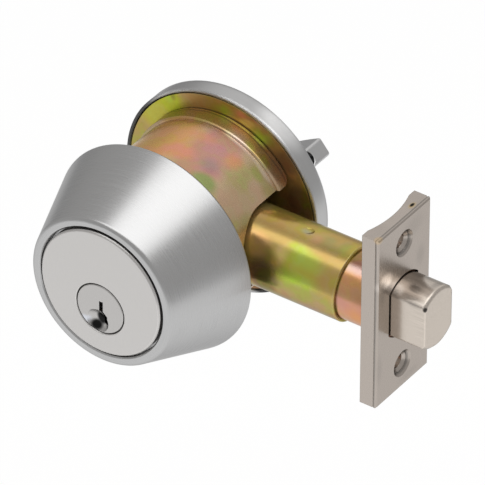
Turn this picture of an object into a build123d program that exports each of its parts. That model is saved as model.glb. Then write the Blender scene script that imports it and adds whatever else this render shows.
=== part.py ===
from build123d import *

import os
from math import atan2, cos, degrees, hypot, radians, sin, sqrt

# Tubular deadbolt with a tapered outside collar, a pin-tumbler cylinder and an inside thumbturn.
# Millimetres. Origin where the cylinder axis (Y) meets the bolt axis (X).
# Outside of the door is -Y, inside is +Y, the bolt is thrown towards +X, and +Z is up.

# Door
BACKSET = 70.8  # cylinder axis to the front of the faceplate
DOOR_THICKNESS = 31.75
OUTSIDE_DOOR_Y = -18.0  # outside face of the door
TURN_Z = -5.35  # plug, crank hub and thumbturn turn on this axis, below the bolt's

# Clearances
RUN = 0.08  # radial, for what turns or slides in a bearing
SEAT = 0.05  # radial, for what is fixed in a hole or a tube
FREE = 0.3  # between pieces that pass each other
FLOAT = 0.1  # end float of a turning piece

# Tapered collar
COLLAR_REAR_R = 32.9
COLLAR_FRONT_R = 23.3  # where the cone would meet the front plane
COLLAR_LENGTH = 25.95
COLLAR_WALL = 2.4
COLLAR_LIP_ROUND = 1.4
COLLAR_MOUTH_BEVEL = 0.4
COLLAR_RIM_BEVEL = 0.6
COLLAR_LEDGE = 2.5  # ledge that the cylinder head traps

# Cylinder
HEAD_R = 20.05
HEAD_THICK = 3.0
HEAD_PROUD = 0.45  # face in front of the collar's lip
HEAD_GAP = 0.6  # ring of shadow between head and lip
HEAD_BEVEL = 0.45
SHELL_R = 17.5
PLUG_HEAD_R = 7.8
PLUG_HEAD_THICK = 2.4
PLUG_R = 6.35
PLUG_BEVEL = 0.2
PLUG_RING_GAP = 0.3  # ring of shadow between plug and face
PIN_COUNT = 6
PIN_END_MARGIN = 3.1  # first and last pin from the ends of the shell's body
PIN_R = 1.42
PIN_POINT = 0.8  # cone at the end that rides on the key
PIN_POINT_R = 0.6
CHAMBER_R = 1.5
SHEAR_GAP = 0.1
PIN_SHOULDER = 0.25  # bottom pins stop this far under the plug's crest
BOTTOM_PIN_LENGTHS = (4.4, 5.2, 4.0, 5.6, 4.8, 4.2)
DRIVER_LENGTH = 5.0
CAP_THICK = 1.6
CAP_SINK = 1.6  # cap below the top of the shell
SPRING_OUTER_R = 1.3
SPRING_INNER_R = 0.9
KEYWAY_WIDTH = 1.3  # upper slot
KEYWAY_LOWER_WIDTH = 1.8
KEYWAY_OFFSET = 0.3  # middle of the upper slot, from the plug's centre
KEYWAY_JOG = 1.2  # sideways step from the upper slot to the lower one
KEYWAY_TOP = 2.6
KEYWAY_BEND = -0.6
KEYWAY_BEND_HEIGHT = 1.3
KEYWAY_FLOOR = -5.2
KEYWAY_WARD = 0.75  # side notch at the bend
KEYWAY_WARD_HEIGHT = 0.6
DISH_R = 3.7  # round key guide, which runs out over the plug's rim
DISH_DEPTH = 1.6
DISH_X = -0.9
DISH_Z = -4.4
SET_SCREW_R = 1.45
SET_SCREW_LENGTH = 4.5

# Plug retainer and lost-motion drive
RETAINER_R = 8.2
RETAINER_THICK = 1.2
RETAINER_SCREW_X = 4.2
RETAINER_SCREW_R = 0.9
RETAINER_SCREW_HEAD_R = 1.6
RETAINER_SCREW_LENGTH = 5.0
LUG_HEIGHT = 1.2
LUG_GAP = 0.2
LUG_WIDTH = 2.4
LUG_INNER_R = 5.0
LUG_OUTER_R = 7.5
DRIVER_DISC_R = 7.6
DRIVER_DISC_THICK = 1.0

# Bore housing
HOUSING_R = 25.9
HOUSING_WALL = 1.5
HOUSING_BAND_R = 26.7
HOUSING_BAND = 5.2  # length of the raised band at the inside end
HOUSING_BAND_ROUND = 0.7
HOUSING_INSET = 9.0  # how far it stands into the collar
HOUSING_WEB = 4.0
HOUSING_PLATE_GAP = 0.35
NOTCH_ROOM = 1.6  # around the bolt tube
NOTCH_CORNER = 2.4
POST_Z = 20.8
POST_R = 2.8
POST_LENGTH = 17.0
SPIGOT_R = 1.95

# Rose, mounting plate and through bolts
ROSE_R = 32.5
ROSE_DEPTH = 6.85
ROSE_WALL = 0.9
ROSE_BACK = 1.3
ROSE_ROUND = 2.2
ROSE_BOSS_R = 8.6
ROSE_BOSS_HEIGHT = 1.0
PILLAR_R = 4.2
PLATE_GAP = 0.4
PLATE_THICK = 2.0
PLATE_SINK = 0.1
PLATE_EYE_R = 4.5
THROUGH_BOLT_R = 2.1
THROUGH_BOLT_HEAD_R = 4.0
THROUGH_BOLT_HEAD = 1.8
THROUGH_BOLT_ROOM = 0.3
THROUGH_BOLT_BITE = 10.0  # thread engaged in the post

# Thumbturn
TURN_ANGLE = 90.0  # from upright to level
TURN_REST = 47.0  # turn left at rest until the bolt is fully thrown
GRIP_REST = 40.5  # angle of the grip above level at rest
SHANK_R = 5.0
SHANK_TAIL = 3.2  # shank behind the rose's back wall
TURN_HUB_R = 8.0
GRIP_LENGTH = 56.0
GRIP_TIP_WIDTH = 5.45
GRIP_WAIST_WIDTH = 10.4
GRIP_TIP_HEIGHT = 8.1
GRIP_CROWN = 1.8  # rise from tip to middle
GRIP_LIFT = 5.4  # underside of the tips above the rose's back
GRIP_ROUND = 0.8
GRIP_HOLLOW = 1.8  # depth of the groove under each arm
GRIP_HOLLOW_WALL = 0.5  # beside the groove at the tip
RING_GROOVE_R = 4.2
RING_THICK = 0.8
RING_R = 7.4
RING_OPENING = 7.2
WASHER_THICK = 0.5
BLADE_WIDTH = 5.6
BLADE_THICK = 1.6
BLADE_ENTRY = 5.5  # blade inside the thumbturn

# Bolt tubes and faceplate
TUBE_R = 11.4
TUBE_WALL = 0.95
TUBE_REAR_GAP = 0.5  # rear end of the tube to the drum's wall
TUBE_END_BEVEL = 0.35
TUBE_DIMPLE_R = 1.6  # stake mark on top of the tube
TUBE_DIMPLE_DEPTH = 0.4
TUBE_DIMPLE_BACK = 15.8  # from the tube's front end
TUBE_WINDOW_ROOM = 0.8  # around the travel of the tail plates
FRONT_TUBE_WALL = 0.6
FRONT_TUBE_SHOW = 10.2  # bare front tube behind the backplate
FRONT_TUBE_LAP = 25.0  # front tube inside the rear one
BUSH_LENGTH = 8.0
BUSH_SINK = 4.0  # behind the faceplate
REAR_CAP_THICK = 1.6
FACEPLATE_HEIGHT = 57.15
FACEPLATE_WIDTH = 25.4
FACEPLATE_THICK = 1.0
FACEPLATE_BEVEL = 0.4
BACKPLATE_THICK = 4.5
BACKPLATE_BEVEL = 0.4
SCOOP_WIDTH = 20.0
SCOOP_DEPTH = 1.6
SCOOP_LENGTH = 5.0
SCREW_SPACING = 41.3
SCREW_HOLE_R = 2.25
SCREW_SINK_R = 4.15
BOLT_HOLE_GAP = 0.5  # faceplate around the bolt

# Bolt and its drive
BOLT_FLATS = 13.2
BOLT_BEVEL = 0.8  # turned on the round bar before the flats are cut
BOLT_THROW = 25.4
BOLT_SINK = 1.2  # end below the faceplate when withdrawn
BOLT_SHOULDER_BACK = 21.85  # shoulder behind the faceplate's front at rest
TONGUE_LENGTH = 12.0
TONGUE_THICK = 4.9
SAW_PIN_R = 2.0
SAW_PIN_LENGTH = 22.0
SAW_PIN_Z = -4.4
CRANK_REACH = 1.081  # crank radius against the bolt's travel per radian
CRANK_HUB_R = 3.9
CRANK_HUB_SINK = 0.5  # ends below the tube's surface
CRANK_ARM_THICK = 4.0
CRANK_ARM_WIDTH = 5.6
CRANK_EYE_R = 3.6
CRANK_PIN_R = 2.0
CRANK_PIN_LENGTH = 10.2
TAIL_PLATE_THICK = 2.0
TAIL_PLATE_GAP = 5.0  # between the two plates
TAIL_STRIP_BASE = -0.9
TAIL_STRIP_TOP = 5.2
TAIL_EAR_WALL = 2.4
TAIL_EAR_TOP = 14.4
SLOT_PLAY = 0.72  # each side of the crank pin
RIVET_MARGIN = 3.0  # from the ends of the bolt's tongue
RIVET_R = 1.6
RIVET_HEAD_R = 2.5
RIVET_HEAD = 0.6

# Places that follow from the sizes above
INSIDE_DOOR_Y = OUTSIDE_DOOR_Y + DOOR_THICKNESS
COLLAR_FRONT_Y = OUTSIDE_DOOR_Y - COLLAR_LENGTH
FACE_Y = COLLAR_FRONT_Y - HEAD_PROUD
HEAD_BACK_Y = FACE_Y + HEAD_THICK
DRIVER_DISC_Y = -(TUBE_R + FREE)
RETAINER_Y = DRIVER_DISC_Y - DRIVER_DISC_THICK - LUG_HEIGHT - LUG_GAP
PLUG_REAR_Y = RETAINER_Y - RETAINER_THICK
SHELL_REAR_Y = PLUG_REAR_Y - FLOAT
PIN_PITCH = (SHELL_REAR_Y - HEAD_BACK_Y - 2 * PIN_END_MARGIN) / (PIN_COUNT - 1)
PIN_PLACES = [HEAD_BACK_Y + PIN_END_MARGIN + PIN_PITCH * i for i in range(PIN_COUNT)]
PLUG_CREST_Z = TURN_Z + PLUG_R
HOUSING_FRONT_Y = OUTSIDE_DOOR_Y - HOUSING_INSET
HOUSING_WEB_Y = HOUSING_FRONT_Y + HOUSING_WEB
PLATE_Y = INSIDE_DOOR_Y + PLATE_SINK
HOUSING_END_Y = PLATE_Y - HOUSING_PLATE_GAP
ROSE_BACK_Y = INSIDE_DOOR_Y + ROSE_DEPTH
ROSE_INNER_Y = ROSE_BACK_Y - ROSE_BACK
ROSE_BOSS_Y = ROSE_BACK_Y + ROSE_BOSS_HEIGHT
PLATE_R = ROSE_R - ROSE_WALL - PLATE_GAP
POST_END_Y = HOUSING_WEB_Y + POST_LENGTH
FACEPLATE_REAR_X = BACKSET - FACEPLATE_THICK
BACKPLATE_REAR_X = FACEPLATE_REAR_X - BACKPLATE_THICK
TUBE_FRONT_X = BACKPLATE_REAR_X - FRONT_TUBE_SHOW
FRONT_TUBE_R = TUBE_R - TUBE_WALL - SEAT
FRONT_TUBE_BORE = FRONT_TUBE_R - FRONT_TUBE_WALL
TUBE_REAR_X = -sqrt((HOUSING_R - HOUSING_WALL - TUBE_REAR_GAP) ** 2 - TUBE_R**2)
BOLT_R = FRONT_TUBE_BORE - FREE
BOLT_TRAVEL = BOLT_THROW + BOLT_SINK
TRAVEL_PER_RADIAN = BOLT_TRAVEL / radians(TURN_ANGLE)
BOLT_END_X = BACKSET - BOLT_SINK + BOLT_TRAVEL * (TURN_ANGLE - TURN_REST) / TURN_ANGLE
BOLT_BACKWARD = TRAVEL_PER_RADIAN * radians(TURN_ANGLE - TURN_REST)
BOLT_FORWARD = TRAVEL_PER_RADIAN * radians(TURN_REST)
SHOULDER_X = BACKSET - BOLT_SHOULDER_BACK
# The crank's pin follows a sine and the bolt moves evenly, so a longer crank splits the difference.
CRANK_R = CRANK_REACH * TRAVEL_PER_RADIAN
CRANK_LEAN = TURN_ANGLE / 2 - TURN_REST
CRANK_PIN_X = CRANK_R * sin(radians(CRANK_LEAN))
CRANK_PIN_Z = TURN_Z + CRANK_R * cos(radians(CRANK_LEAN))
SLOT_X = TRAVEL_PER_RADIAN * radians(CRANK_LEAN)
SLOT_HALF = CRANK_PIN_R + SLOT_PLAY
EAR_HALF = SLOT_HALF + TAIL_EAR_WALL
CHEEK_Y = TAIL_PLATE_GAP / 2


def rod_x(radius, x0, x1, y=0.0, z=0.0):
    """Cylinder along X."""
    rod = Cylinder(radius, x1 - x0, align=(Align.CENTER, Align.CENTER, Align.MIN))
    return Pos(x0, y, z) * Rot(0, 90, 0) * rod


def rod_y(radius, y0, y1, x=0.0, z=0.0):
    """Cylinder along Y."""
    rod = Cylinder(radius, y1 - y0, align=(Align.CENTER, Align.CENTER, Align.MIN))
    return Pos(x, y0, z) * Rot(-90, 0, 0) * rod


def rod_z(radius, z0, z1, x=0.0, y=0.0):
    """Cylinder along Z."""
    rod = Cylinder(radius, z1 - z0, align=(Align.CENTER, Align.CENTER, Align.MIN))
    return Pos(x, y, z0) * rod


def cone_z(base_r, top_r, height):
    """Cone that stands on the origin."""
    return Cone(base_r, top_r, height, align=(Align.CENTER, Align.CENTER, Align.MIN))


def slab_x(outline, x0, x1):
    """Outline drawn in Y and Z, given its thickness along X."""
    return extrude(Plane.YZ.offset(x0) * outline, x1 - x0)


def slab_y(outline, y0, y1):
    """Outline drawn in X and Z, given its thickness along Y."""
    return extrude(Plane.XZ.offset(-y1) * outline, y1 - y0)


def turned(*points):
    """Closed outline of (radius, y) points turned about the cylinder axis."""
    return revolve(make_face(Polyline(*points, close=True)), Axis.Y)


def rims(solid, radius, y):
    """Circular edges of one radius about Y at one place along it."""
    return solid.edges().filter_by(GeomType.CIRCLE).filter_by(
        lambda edge: abs(edge.radius - radius) < 1e-3 and abs(edge.arc_center.Y - y) < 1e-3
    )


def round_bar(radius, flats):
    """Section of a round bar with two side flats."""
    return Circle(radius) & Rectangle(flats, 2 * radius)


def arc_radius(half_width, depth):
    """Radius of an arc, dish or groove of one half width and depth."""
    return (half_width**2 + depth**2) / (2 * depth)


def group(solids):
    """Separate solids that share one node."""
    return Compound([solid for shape in solids for solid in shape.solids()])


def tapered_collar():
    slope = (COLLAR_REAR_R - COLLAR_FRONT_R) / COLLAR_LENGTH
    wall = COLLAR_WALL * (1 + slope**2) ** 0.5
    mouth_r = HEAD_R + HEAD_GAP
    ledge_r = SHELL_R + FREE
    ledge_y = HEAD_BACK_Y + FLOAT
    hollow_y = ledge_y + COLLAR_LEDGE
    hollow_r = COLLAR_FRONT_R + slope * (hollow_y - COLLAR_FRONT_Y) - wall
    collar = turned(
        (mouth_r, COLLAR_FRONT_Y),
        (COLLAR_FRONT_R, COLLAR_FRONT_Y),
        (COLLAR_REAR_R, OUTSIDE_DOOR_Y),
        (COLLAR_REAR_R - wall, OUTSIDE_DOOR_Y),
        (hollow_r, hollow_y),
        (ledge_r, hollow_y),
        (ledge_r, ledge_y),
        (mouth_r, ledge_y),
    )
    collar = fillet(rims(collar, COLLAR_FRONT_R, COLLAR_FRONT_Y), COLLAR_LIP_ROUND)
    collar = chamfer(rims(collar, mouth_r, COLLAR_FRONT_Y), COLLAR_MOUTH_BEVEL)
    return chamfer(rims(collar, COLLAR_REAR_R, OUTSIDE_DOOR_Y), COLLAR_RIM_BEVEL)


def cylinder_shell():
    shell = rod_y(HEAD_R, FACE_Y, HEAD_BACK_Y) + rod_y(SHELL_R, HEAD_BACK_Y, SHELL_REAR_Y)
    shell = chamfer(rims(shell, HEAD_R, FACE_Y), HEAD_BEVEL)
    seat_r = PLUG_HEAD_R + PLUG_RING_GAP
    shell -= rod_y(seat_r, FACE_Y, FACE_Y + PLUG_HEAD_THICK, z=TURN_Z)
    shell -= rod_y(PLUG_R + RUN, FACE_Y, SHELL_REAR_Y, z=TURN_Z)
    for y in PIN_PLACES:
        shell -= rod_z(CHAMBER_R, TURN_Z, SHELL_R, y=y)
    return chamfer(rims(shell, seat_r, FACE_Y), PLUG_BEVEL)


def keyway():
    """Outline of the key slot, from the plug's centre: it jogs sideways, with a notch at the bend."""
    left = KEYWAY_OFFSET - KEYWAY_WIDTH / 2
    right = KEYWAY_OFFSET + KEYWAY_WIDTH / 2
    lower_left = KEYWAY_OFFSET + KEYWAY_JOG - KEYWAY_LOWER_WIDTH / 2
    lower_right = lower_left + KEYWAY_LOWER_WIDTH
    step = KEYWAY_BEND - KEYWAY_BEND_HEIGHT
    outline = Polyline(
        (left, KEYWAY_TOP),
        (right, KEYWAY_TOP),
        (right, KEYWAY_BEND),
        (lower_right, step),
        (lower_right, KEYWAY_FLOOR),
        (lower_left, KEYWAY_FLOOR),
        (lower_left, step - KEYWAY_WARD_HEIGHT),
        (left, KEYWAY_BEND - KEYWAY_WARD_HEIGHT),
        (left - KEYWAY_WARD, KEYWAY_BEND - KEYWAY_WARD_HEIGHT),
        (left - KEYWAY_WARD, KEYWAY_BEND),
        (left, KEYWAY_BEND),
        close=True,
    )
    return make_face(outline)


def key_plug():
    plug = rod_y(PLUG_HEAD_R, FACE_Y, FACE_Y + PLUG_HEAD_THICK - FLOAT, z=TURN_Z)
    plug += rod_y(PLUG_R, FACE_Y, PLUG_REAR_Y, z=TURN_Z)
    plug = chamfer(rims(plug, PLUG_HEAD_R, FACE_Y), PLUG_BEVEL)
    plug -= slab_y(Pos(0, TURN_Z) * keyway(), FACE_Y, PLUG_REAR_Y)
    ball_r = arc_radius(DISH_R, DISH_DEPTH)
    plug -= Pos(DISH_X, FACE_Y + DISH_DEPTH - ball_r, TURN_Z + DISH_Z) * Sphere(ball_r)
    for y in PIN_PLACES:
        plug -= rod_z(CHAMBER_R, TURN_Z, PLUG_CREST_Z, y=y)
    for x in (-RETAINER_SCREW_X, RETAINER_SCREW_X):
        plug -= rod_y(RETAINER_SCREW_R + SEAT, PLUG_REAR_Y - RETAINER_SCREW_LENGTH, PLUG_REAR_Y, x, TURN_Z)
    return plug


def bottom_pins():
    top = PLUG_CREST_Z - PIN_SHOULDER
    point = cone_z(PIN_POINT_R, PIN_R, PIN_POINT)
    pins = []
    for length, y in zip(BOTTOM_PIN_LENGTHS, PIN_PLACES):
        pins.append(rod_z(PIN_R, top - length + PIN_POINT, top, y=y) + Pos(0, y, top - length) * point)
    return group(pins)


def driver_pins():
    base = PLUG_CREST_Z + SHEAR_GAP
    return group(rod_z(PIN_R, base, base + DRIVER_LENGTH, y=y) for y in PIN_PLACES)


def chamber_cap_base():
    """Underside of the caps, where the springs end."""
    return SHELL_R - CAP_SINK - CAP_THICK


def chamber_caps():
    base = chamber_cap_base()
    return group(rod_z(CHAMBER_R - SEAT, base, base + CAP_THICK, y=y) for y in PIN_PLACES)


def pin_springs():
    base = PLUG_CREST_Z + SHEAR_GAP + DRIVER_LENGTH
    top = chamber_cap_base()
    coil = rod_z(SPRING_OUTER_R, base, top) - rod_z(SPRING_INNER_R, base, top)
    return group(Pos(0, y, 0) * coil for y in PIN_PLACES)


def lug(y0, y1, side):
    """Drive lug off the turning axis, upwards (side 1) or downwards (side -1)."""
    middle = side * (LUG_INNER_R + LUG_OUTER_R) / 2
    return slab_y(Pos(0, TURN_Z + middle) * Rectangle(LUG_WIDTH, LUG_OUTER_R - LUG_INNER_R), y0, y1)


def plug_retainer():
    cap = rod_y(RETAINER_R, PLUG_REAR_Y, RETAINER_Y, z=TURN_Z)
    cap += lug(RETAINER_Y, RETAINER_Y + LUG_HEIGHT, -1)
    for screw in retainer_screw_shapes(SEAT):
        cap -= screw
    return cap


def retainer_screw_shapes(room):
    """The two countersunk screws, or with some room around them their holes."""
    shank_r = RETAINER_SCREW_R + room
    head_r = RETAINER_SCREW_HEAD_R + room
    neck_y = RETAINER_Y - (RETAINER_SCREW_HEAD_R - RETAINER_SCREW_R)
    head = cone_z(shank_r, head_r, RETAINER_Y - neck_y)
    shapes = []
    for x in (-RETAINER_SCREW_X, RETAINER_SCREW_X):
        shank = rod_y(shank_r, PLUG_REAR_Y - RETAINER_SCREW_LENGTH, neck_y, x, TURN_Z)
        shapes.append(shank + Pos(x, neck_y, TURN_Z) * Rot(-90, 0, 0) * head)
    return shapes


def retainer_screws():
    return group(retainer_screw_shapes(0.0))


def cylinder_set_screw():
    y = (HOUSING_FRONT_Y + HOUSING_WEB_Y) / 2
    return rod_x(SET_SCREW_R, -SHELL_R - SEAT - SET_SCREW_LENGTH, -SHELL_R - SEAT, y=y)


def bolt_tube_notch():
    """Outline in Y and Z of the open-ended notch around the bolt tube, with rounded mouth corners."""
    half = TUBE_R + NOTCH_ROOM
    mouth_y = HOUSING_END_Y - NOTCH_CORNER
    outline = Circle(half) + Pos(HOUSING_END_Y / 2, 0) * Rectangle(HOUSING_END_Y, 2 * half)
    mouth = Pos(mouth_y + NOTCH_CORNER / 2, 0) * Rectangle(NOTCH_CORNER, 2 * (half + NOTCH_CORNER))
    for z in (-half - NOTCH_CORNER, half + NOTCH_CORNER):
        mouth -= Pos(mouth_y, z) * Circle(NOTCH_CORNER)
    return outline + mouth


def bore_housing():
    bore = HOUSING_R - HOUSING_WALL
    band_y = HOUSING_END_Y - HOUSING_BAND
    drum = turned(
        (SHELL_R + SEAT, HOUSING_FRONT_Y),
        (HOUSING_R, HOUSING_FRONT_Y),
        (HOUSING_R, band_y),
        (HOUSING_BAND_R, band_y),
        (HOUSING_BAND_R, HOUSING_END_Y),
        (bore, HOUSING_END_Y),
        (bore, HOUSING_WEB_Y),
        (SHELL_R + SEAT, HOUSING_WEB_Y),
    )
    drum = fillet(rims(drum, HOUSING_BAND_R, band_y), HOUSING_BAND_ROUND)
    drum -= slab_x(bolt_tube_notch(), 0, HOUSING_BAND_R)
    for z in (-POST_Z, POST_Z):
        drum -= rod_y(SPIGOT_R + SEAT, HOUSING_FRONT_Y, HOUSING_WEB_Y, z=z)
    screw_y = (HOUSING_FRONT_Y + HOUSING_WEB_Y) / 2
    return drum - rod_x(SET_SCREW_R + SEAT, -HOUSING_R, -SHELL_R, y=screw_y)


def housing_posts():
    posts = []
    for z in (-POST_Z, POST_Z):
        post = rod_y(POST_R, HOUSING_WEB_Y, POST_END_Y, z=z)
        post += rod_y(SPIGOT_R, HOUSING_FRONT_Y, HOUSING_WEB_Y, z=z)
        posts.append(post - rod_y(THROUGH_BOLT_R + SEAT, HOUSING_WEB_Y + POST_R, POST_END_Y, z=z))
    return group(posts)


def through_bolts():
    bolts = []
    for z in (-POST_Z, POST_Z):
        bolt = rod_y(THROUGH_BOLT_R, POST_END_Y - THROUGH_BOLT_BITE, ROSE_BACK_Y, z=z)
        head = rod_y(THROUGH_BOLT_HEAD_R, ROSE_BACK_Y, ROSE_BACK_Y + THROUGH_BOLT_HEAD, z=z)
        head = fillet(rims(head, THROUGH_BOLT_HEAD_R, ROSE_BACK_Y + THROUGH_BOLT_HEAD), THROUGH_BOLT_HEAD / 2)
        bolts.append(bolt + head)
    return group(bolts)


def mounting_plate():
    plate = rod_y(PLATE_R, PLATE_Y, PLATE_Y + PLATE_THICK)
    plate -= rod_y(PLATE_EYE_R, PLATE_Y, PLATE_Y + PLATE_THICK, z=TURN_Z)
    for z in (-POST_Z, POST_Z):
        plate -= rod_y(THROUGH_BOLT_R + THROUGH_BOLT_ROOM, PLATE_Y, PLATE_Y + PLATE_THICK, z=z)
    return plate


def inside_rose():
    rose = turned(
        (0, ROSE_INNER_Y),
        (ROSE_R - ROSE_WALL, ROSE_INNER_Y),
        (ROSE_R - ROSE_WALL, INSIDE_DOOR_Y),
        (ROSE_R, INSIDE_DOOR_Y),
        (ROSE_R, ROSE_BACK_Y),
        (0, ROSE_BACK_Y),
    )
    rose = fillet(rims(rose, ROSE_R, ROSE_BACK_Y), ROSE_ROUND)
    rose += rod_y(ROSE_BOSS_R, ROSE_INNER_Y, ROSE_BOSS_Y, z=TURN_Z)
    rose -= rod_y(SHANK_R + RUN, ROSE_INNER_Y, ROSE_BOSS_Y, z=TURN_Z)
    for z in (-POST_Z, POST_Z):
        rose += rod_y(PILLAR_R, PLATE_Y + PLATE_THICK, ROSE_INNER_Y, z=z)
        rose -= rod_y(THROUGH_BOLT_R + THROUGH_BOLT_ROOM, PLATE_Y + PLATE_THICK, ROSE_BACK_Y, z=z)
    return rose


def turn_washer():
    y = ROSE_INNER_Y - WASHER_THICK
    return rod_y(RING_R, y, ROSE_INNER_Y, z=TURN_Z) - rod_y(SHANK_R + RUN, y, ROSE_INNER_Y, z=TURN_Z)


def ring_place():
    """Outside face of the retaining ring, one end float behind the washer."""
    return ROSE_INNER_Y - WASHER_THICK - FLOAT - RING_THICK


def turn_retaining_ring():
    y = ring_place()
    ring = rod_y(RING_R, y, y + RING_THICK, z=TURN_Z)
    ring -= rod_y(RING_GROOVE_R + SEAT, y, y + RING_THICK, z=TURN_Z)
    opening = Pos(0, TURN_Z - RING_R / 2) * Rectangle(RING_OPENING, RING_R)
    ring -= slab_y(opening, y, y + RING_THICK)
    return at_turn_angle(ring)


def at_turn_angle(shape):
    """A piece drawn with the grip level, turned to its angle at rest about the turning axis."""
    return Pos(0, 0, TURN_Z) * Rot(0, -GRIP_REST, 0) * Pos(0, 0, -TURN_Z) * shape


def blade_section(room):
    return Rectangle(BLADE_WIDTH + 2 * room, BLADE_THICK + 2 * room)


def grip():
    """Finger grip: its outline from the room crossed with its outline from the side."""
    tip = GRIP_LENGTH / 2
    tip_half = GRIP_TIP_WIDTH / 2
    waist_half = GRIP_WAIST_WIDTH / 2
    base_y = ROSE_BOSS_Y + FLOAT
    under_y = ROSE_BACK_Y + GRIP_LIFT
    top_y = under_y + GRIP_TIP_HEIGHT
    crown_y = top_y + GRIP_CROWN
    plan = make_face(
        ThreePointArc((-tip, tip_half), (0, waist_half), (tip, tip_half))
        + Line((tip, tip_half), (tip, -tip_half))
        + ThreePointArc((tip, -tip_half), (0, -waist_half), (-tip, -tip_half))
        + Line((-tip, -tip_half), (-tip, tip_half))
    )
    plan = fillet(plan.vertices(), GRIP_ROUND)
    side = make_face(
        Line((TURN_HUB_R, base_y), (tip, under_y))
        + Line((tip, under_y), (tip, top_y))
        + ThreePointArc((tip, top_y), (0, crown_y), (-tip, top_y))
        + Line((-tip, top_y), (-tip, under_y))
        + Line((-tip, under_y), (-TURN_HUB_R, base_y))
        + Line((-TURN_HUB_R, base_y), (TURN_HUB_R, base_y))
    )
    depth = extrude(Plane.XY.offset(-GRIP_WAIST_WIDTH) * side, 2 * GRIP_WAIST_WIDTH)
    bar = slab_y(plan, base_y, crown_y) & depth
    bar = fillet(bar.faces().sort_by(Axis.Y)[-1].edges(), GRIP_ROUND)
    groove_r = arc_radius(tip_half - GRIP_HOLLOW_WALL, GRIP_HOLLOW)
    rise = under_y - base_y
    run = tip - TURN_HUB_R
    groove = rod_x(groove_r, 0, hypot(run, rise) + GRIP_TIP_HEIGHT, y=GRIP_HOLLOW - groove_r)
    groove = Pos(TURN_HUB_R, base_y, 0) * Rot(0, 0, degrees(atan2(rise, run))) * groove
    return bar - groove - mirror(groove, about=Plane.YZ)


def thumbturn():
    base_y = ROSE_BOSS_Y + FLOAT
    inner_y = ROSE_INNER_Y - SHANK_TAIL
    hub_height = ROSE_BACK_Y + GRIP_LIFT + GRIP_TIP_HEIGHT / 2 - base_y
    hub = cone_z(TURN_HUB_R, GRIP_WAIST_WIDTH / 2, hub_height)
    turn = Pos(0, 0, TURN_Z) * (grip() + Pos(0, base_y, 0) * Rot(-90, 0, 0) * hub)
    turn += rod_y(SHANK_R, inner_y, base_y, z=TURN_Z)
    groove_y = ring_place() - SEAT
    groove = rod_y(SHANK_R, groove_y, groove_y + RING_THICK + 2 * SEAT, z=TURN_Z)
    groove -= rod_y(RING_GROOVE_R, groove_y, groove_y + RING_THICK + 2 * SEAT, z=TURN_Z)
    turn -= groove
    turn -= slab_y(Pos(0, TURN_Z) * blade_section(SEAT), inner_y, inner_y + BLADE_ENTRY)
    return at_turn_angle(turn)


def tailpiece():
    blade_end_y = ROSE_INNER_Y - SHANK_TAIL + BLADE_ENTRY - FREE
    disc_y = DRIVER_DISC_Y - DRIVER_DISC_THICK
    blade = at_turn_angle(slab_y(Pos(0, TURN_Z) * blade_section(0), DRIVER_DISC_Y, blade_end_y))
    tail = blade + rod_y(DRIVER_DISC_R, disc_y, DRIVER_DISC_Y, z=TURN_Z)
    return tail + lug(disc_y - LUG_HEIGHT, disc_y, 1)


def crank():
    half = CRANK_ARM_THICK / 2
    hub_half = TUBE_R - CRANK_HUB_SINK
    arm = Pos(0, CRANK_R / 2) * Rectangle(CRANK_ARM_WIDTH, CRANK_R) + Pos(0, CRANK_R) * Circle(CRANK_EYE_R)
    arm -= Pos(0, CRANK_R) * Circle(CRANK_PIN_R + SEAT / 2)
    leaning = Pos(0, 0, TURN_Z) * Rot(0, CRANK_LEAN, 0) * slab_y(arm, -half, half)
    hub = leaning + rod_y(CRANK_HUB_R, -hub_half, hub_half, z=TURN_Z)
    return hub - at_turn_angle(slab_y(Pos(0, TURN_Z) * blade_section(SEAT), -hub_half, hub_half))


def crank_pin():
    half = CRANK_PIN_LENGTH / 2
    return rod_y(CRANK_PIN_R, -half, half, CRANK_PIN_X, CRANK_PIN_Z)


def rear_bolt_tube():
    tube = rod_x(TUBE_R, TUBE_REAR_X, TUBE_FRONT_X)
    tube = chamfer(tube.faces().sort_by(Axis.X)[-1].edges(), TUBE_END_BEVEL)
    tube -= rod_x(TUBE_R - TUBE_WALL, TUBE_REAR_X, TUBE_FRONT_X)
    ball_r = arc_radius(TUBE_DIMPLE_R, TUBE_DIMPLE_DEPTH)
    tube -= Pos(TUBE_FRONT_X - TUBE_DIMPLE_BACK, 0, TUBE_R - TUBE_DIMPLE_DEPTH + ball_r) * Sphere(ball_r)
    tube -= rod_y(CRANK_HUB_R + RUN, -TUBE_R, TUBE_R, z=TURN_Z)
    window_x0 = SLOT_X - EAR_HALF - BOLT_BACKWARD - TUBE_WINDOW_ROOM
    window_x1 = SLOT_X + EAR_HALF + BOLT_FORWARD + TUBE_WINDOW_ROOM
    window_width = CRANK_PIN_LENGTH + 2 * TUBE_WINDOW_ROOM
    window = Pos((window_x0 + window_x1) / 2, 0) * Rectangle(window_x1 - window_x0, window_width)
    return tube - extrude(window, TUBE_R)


def tube_rear_cap():
    return rod_x(TUBE_R - TUBE_WALL - SEAT, TUBE_REAR_X, TUBE_REAR_X + REAR_CAP_THICK)


def front_bolt_tube():
    x0 = TUBE_FRONT_X - FRONT_TUBE_LAP
    return rod_x(FRONT_TUBE_R, x0, FACEPLATE_REAR_X) - rod_x(FRONT_TUBE_BORE, x0, FACEPLATE_REAR_X)


def bolt_guide_bush():
    """Two pads that fill the tube beside the bolt's flats and keep the bolt from turning."""
    pads = Circle(FRONT_TUBE_BORE - SEAT) - Rectangle(BOLT_FLATS + 2 * RUN, 2 * FRONT_TUBE_BORE)
    front_x = FACEPLATE_REAR_X - BUSH_SINK
    return group([slab_x(pads, front_x - BUSH_LENGTH, front_x)])


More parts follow.
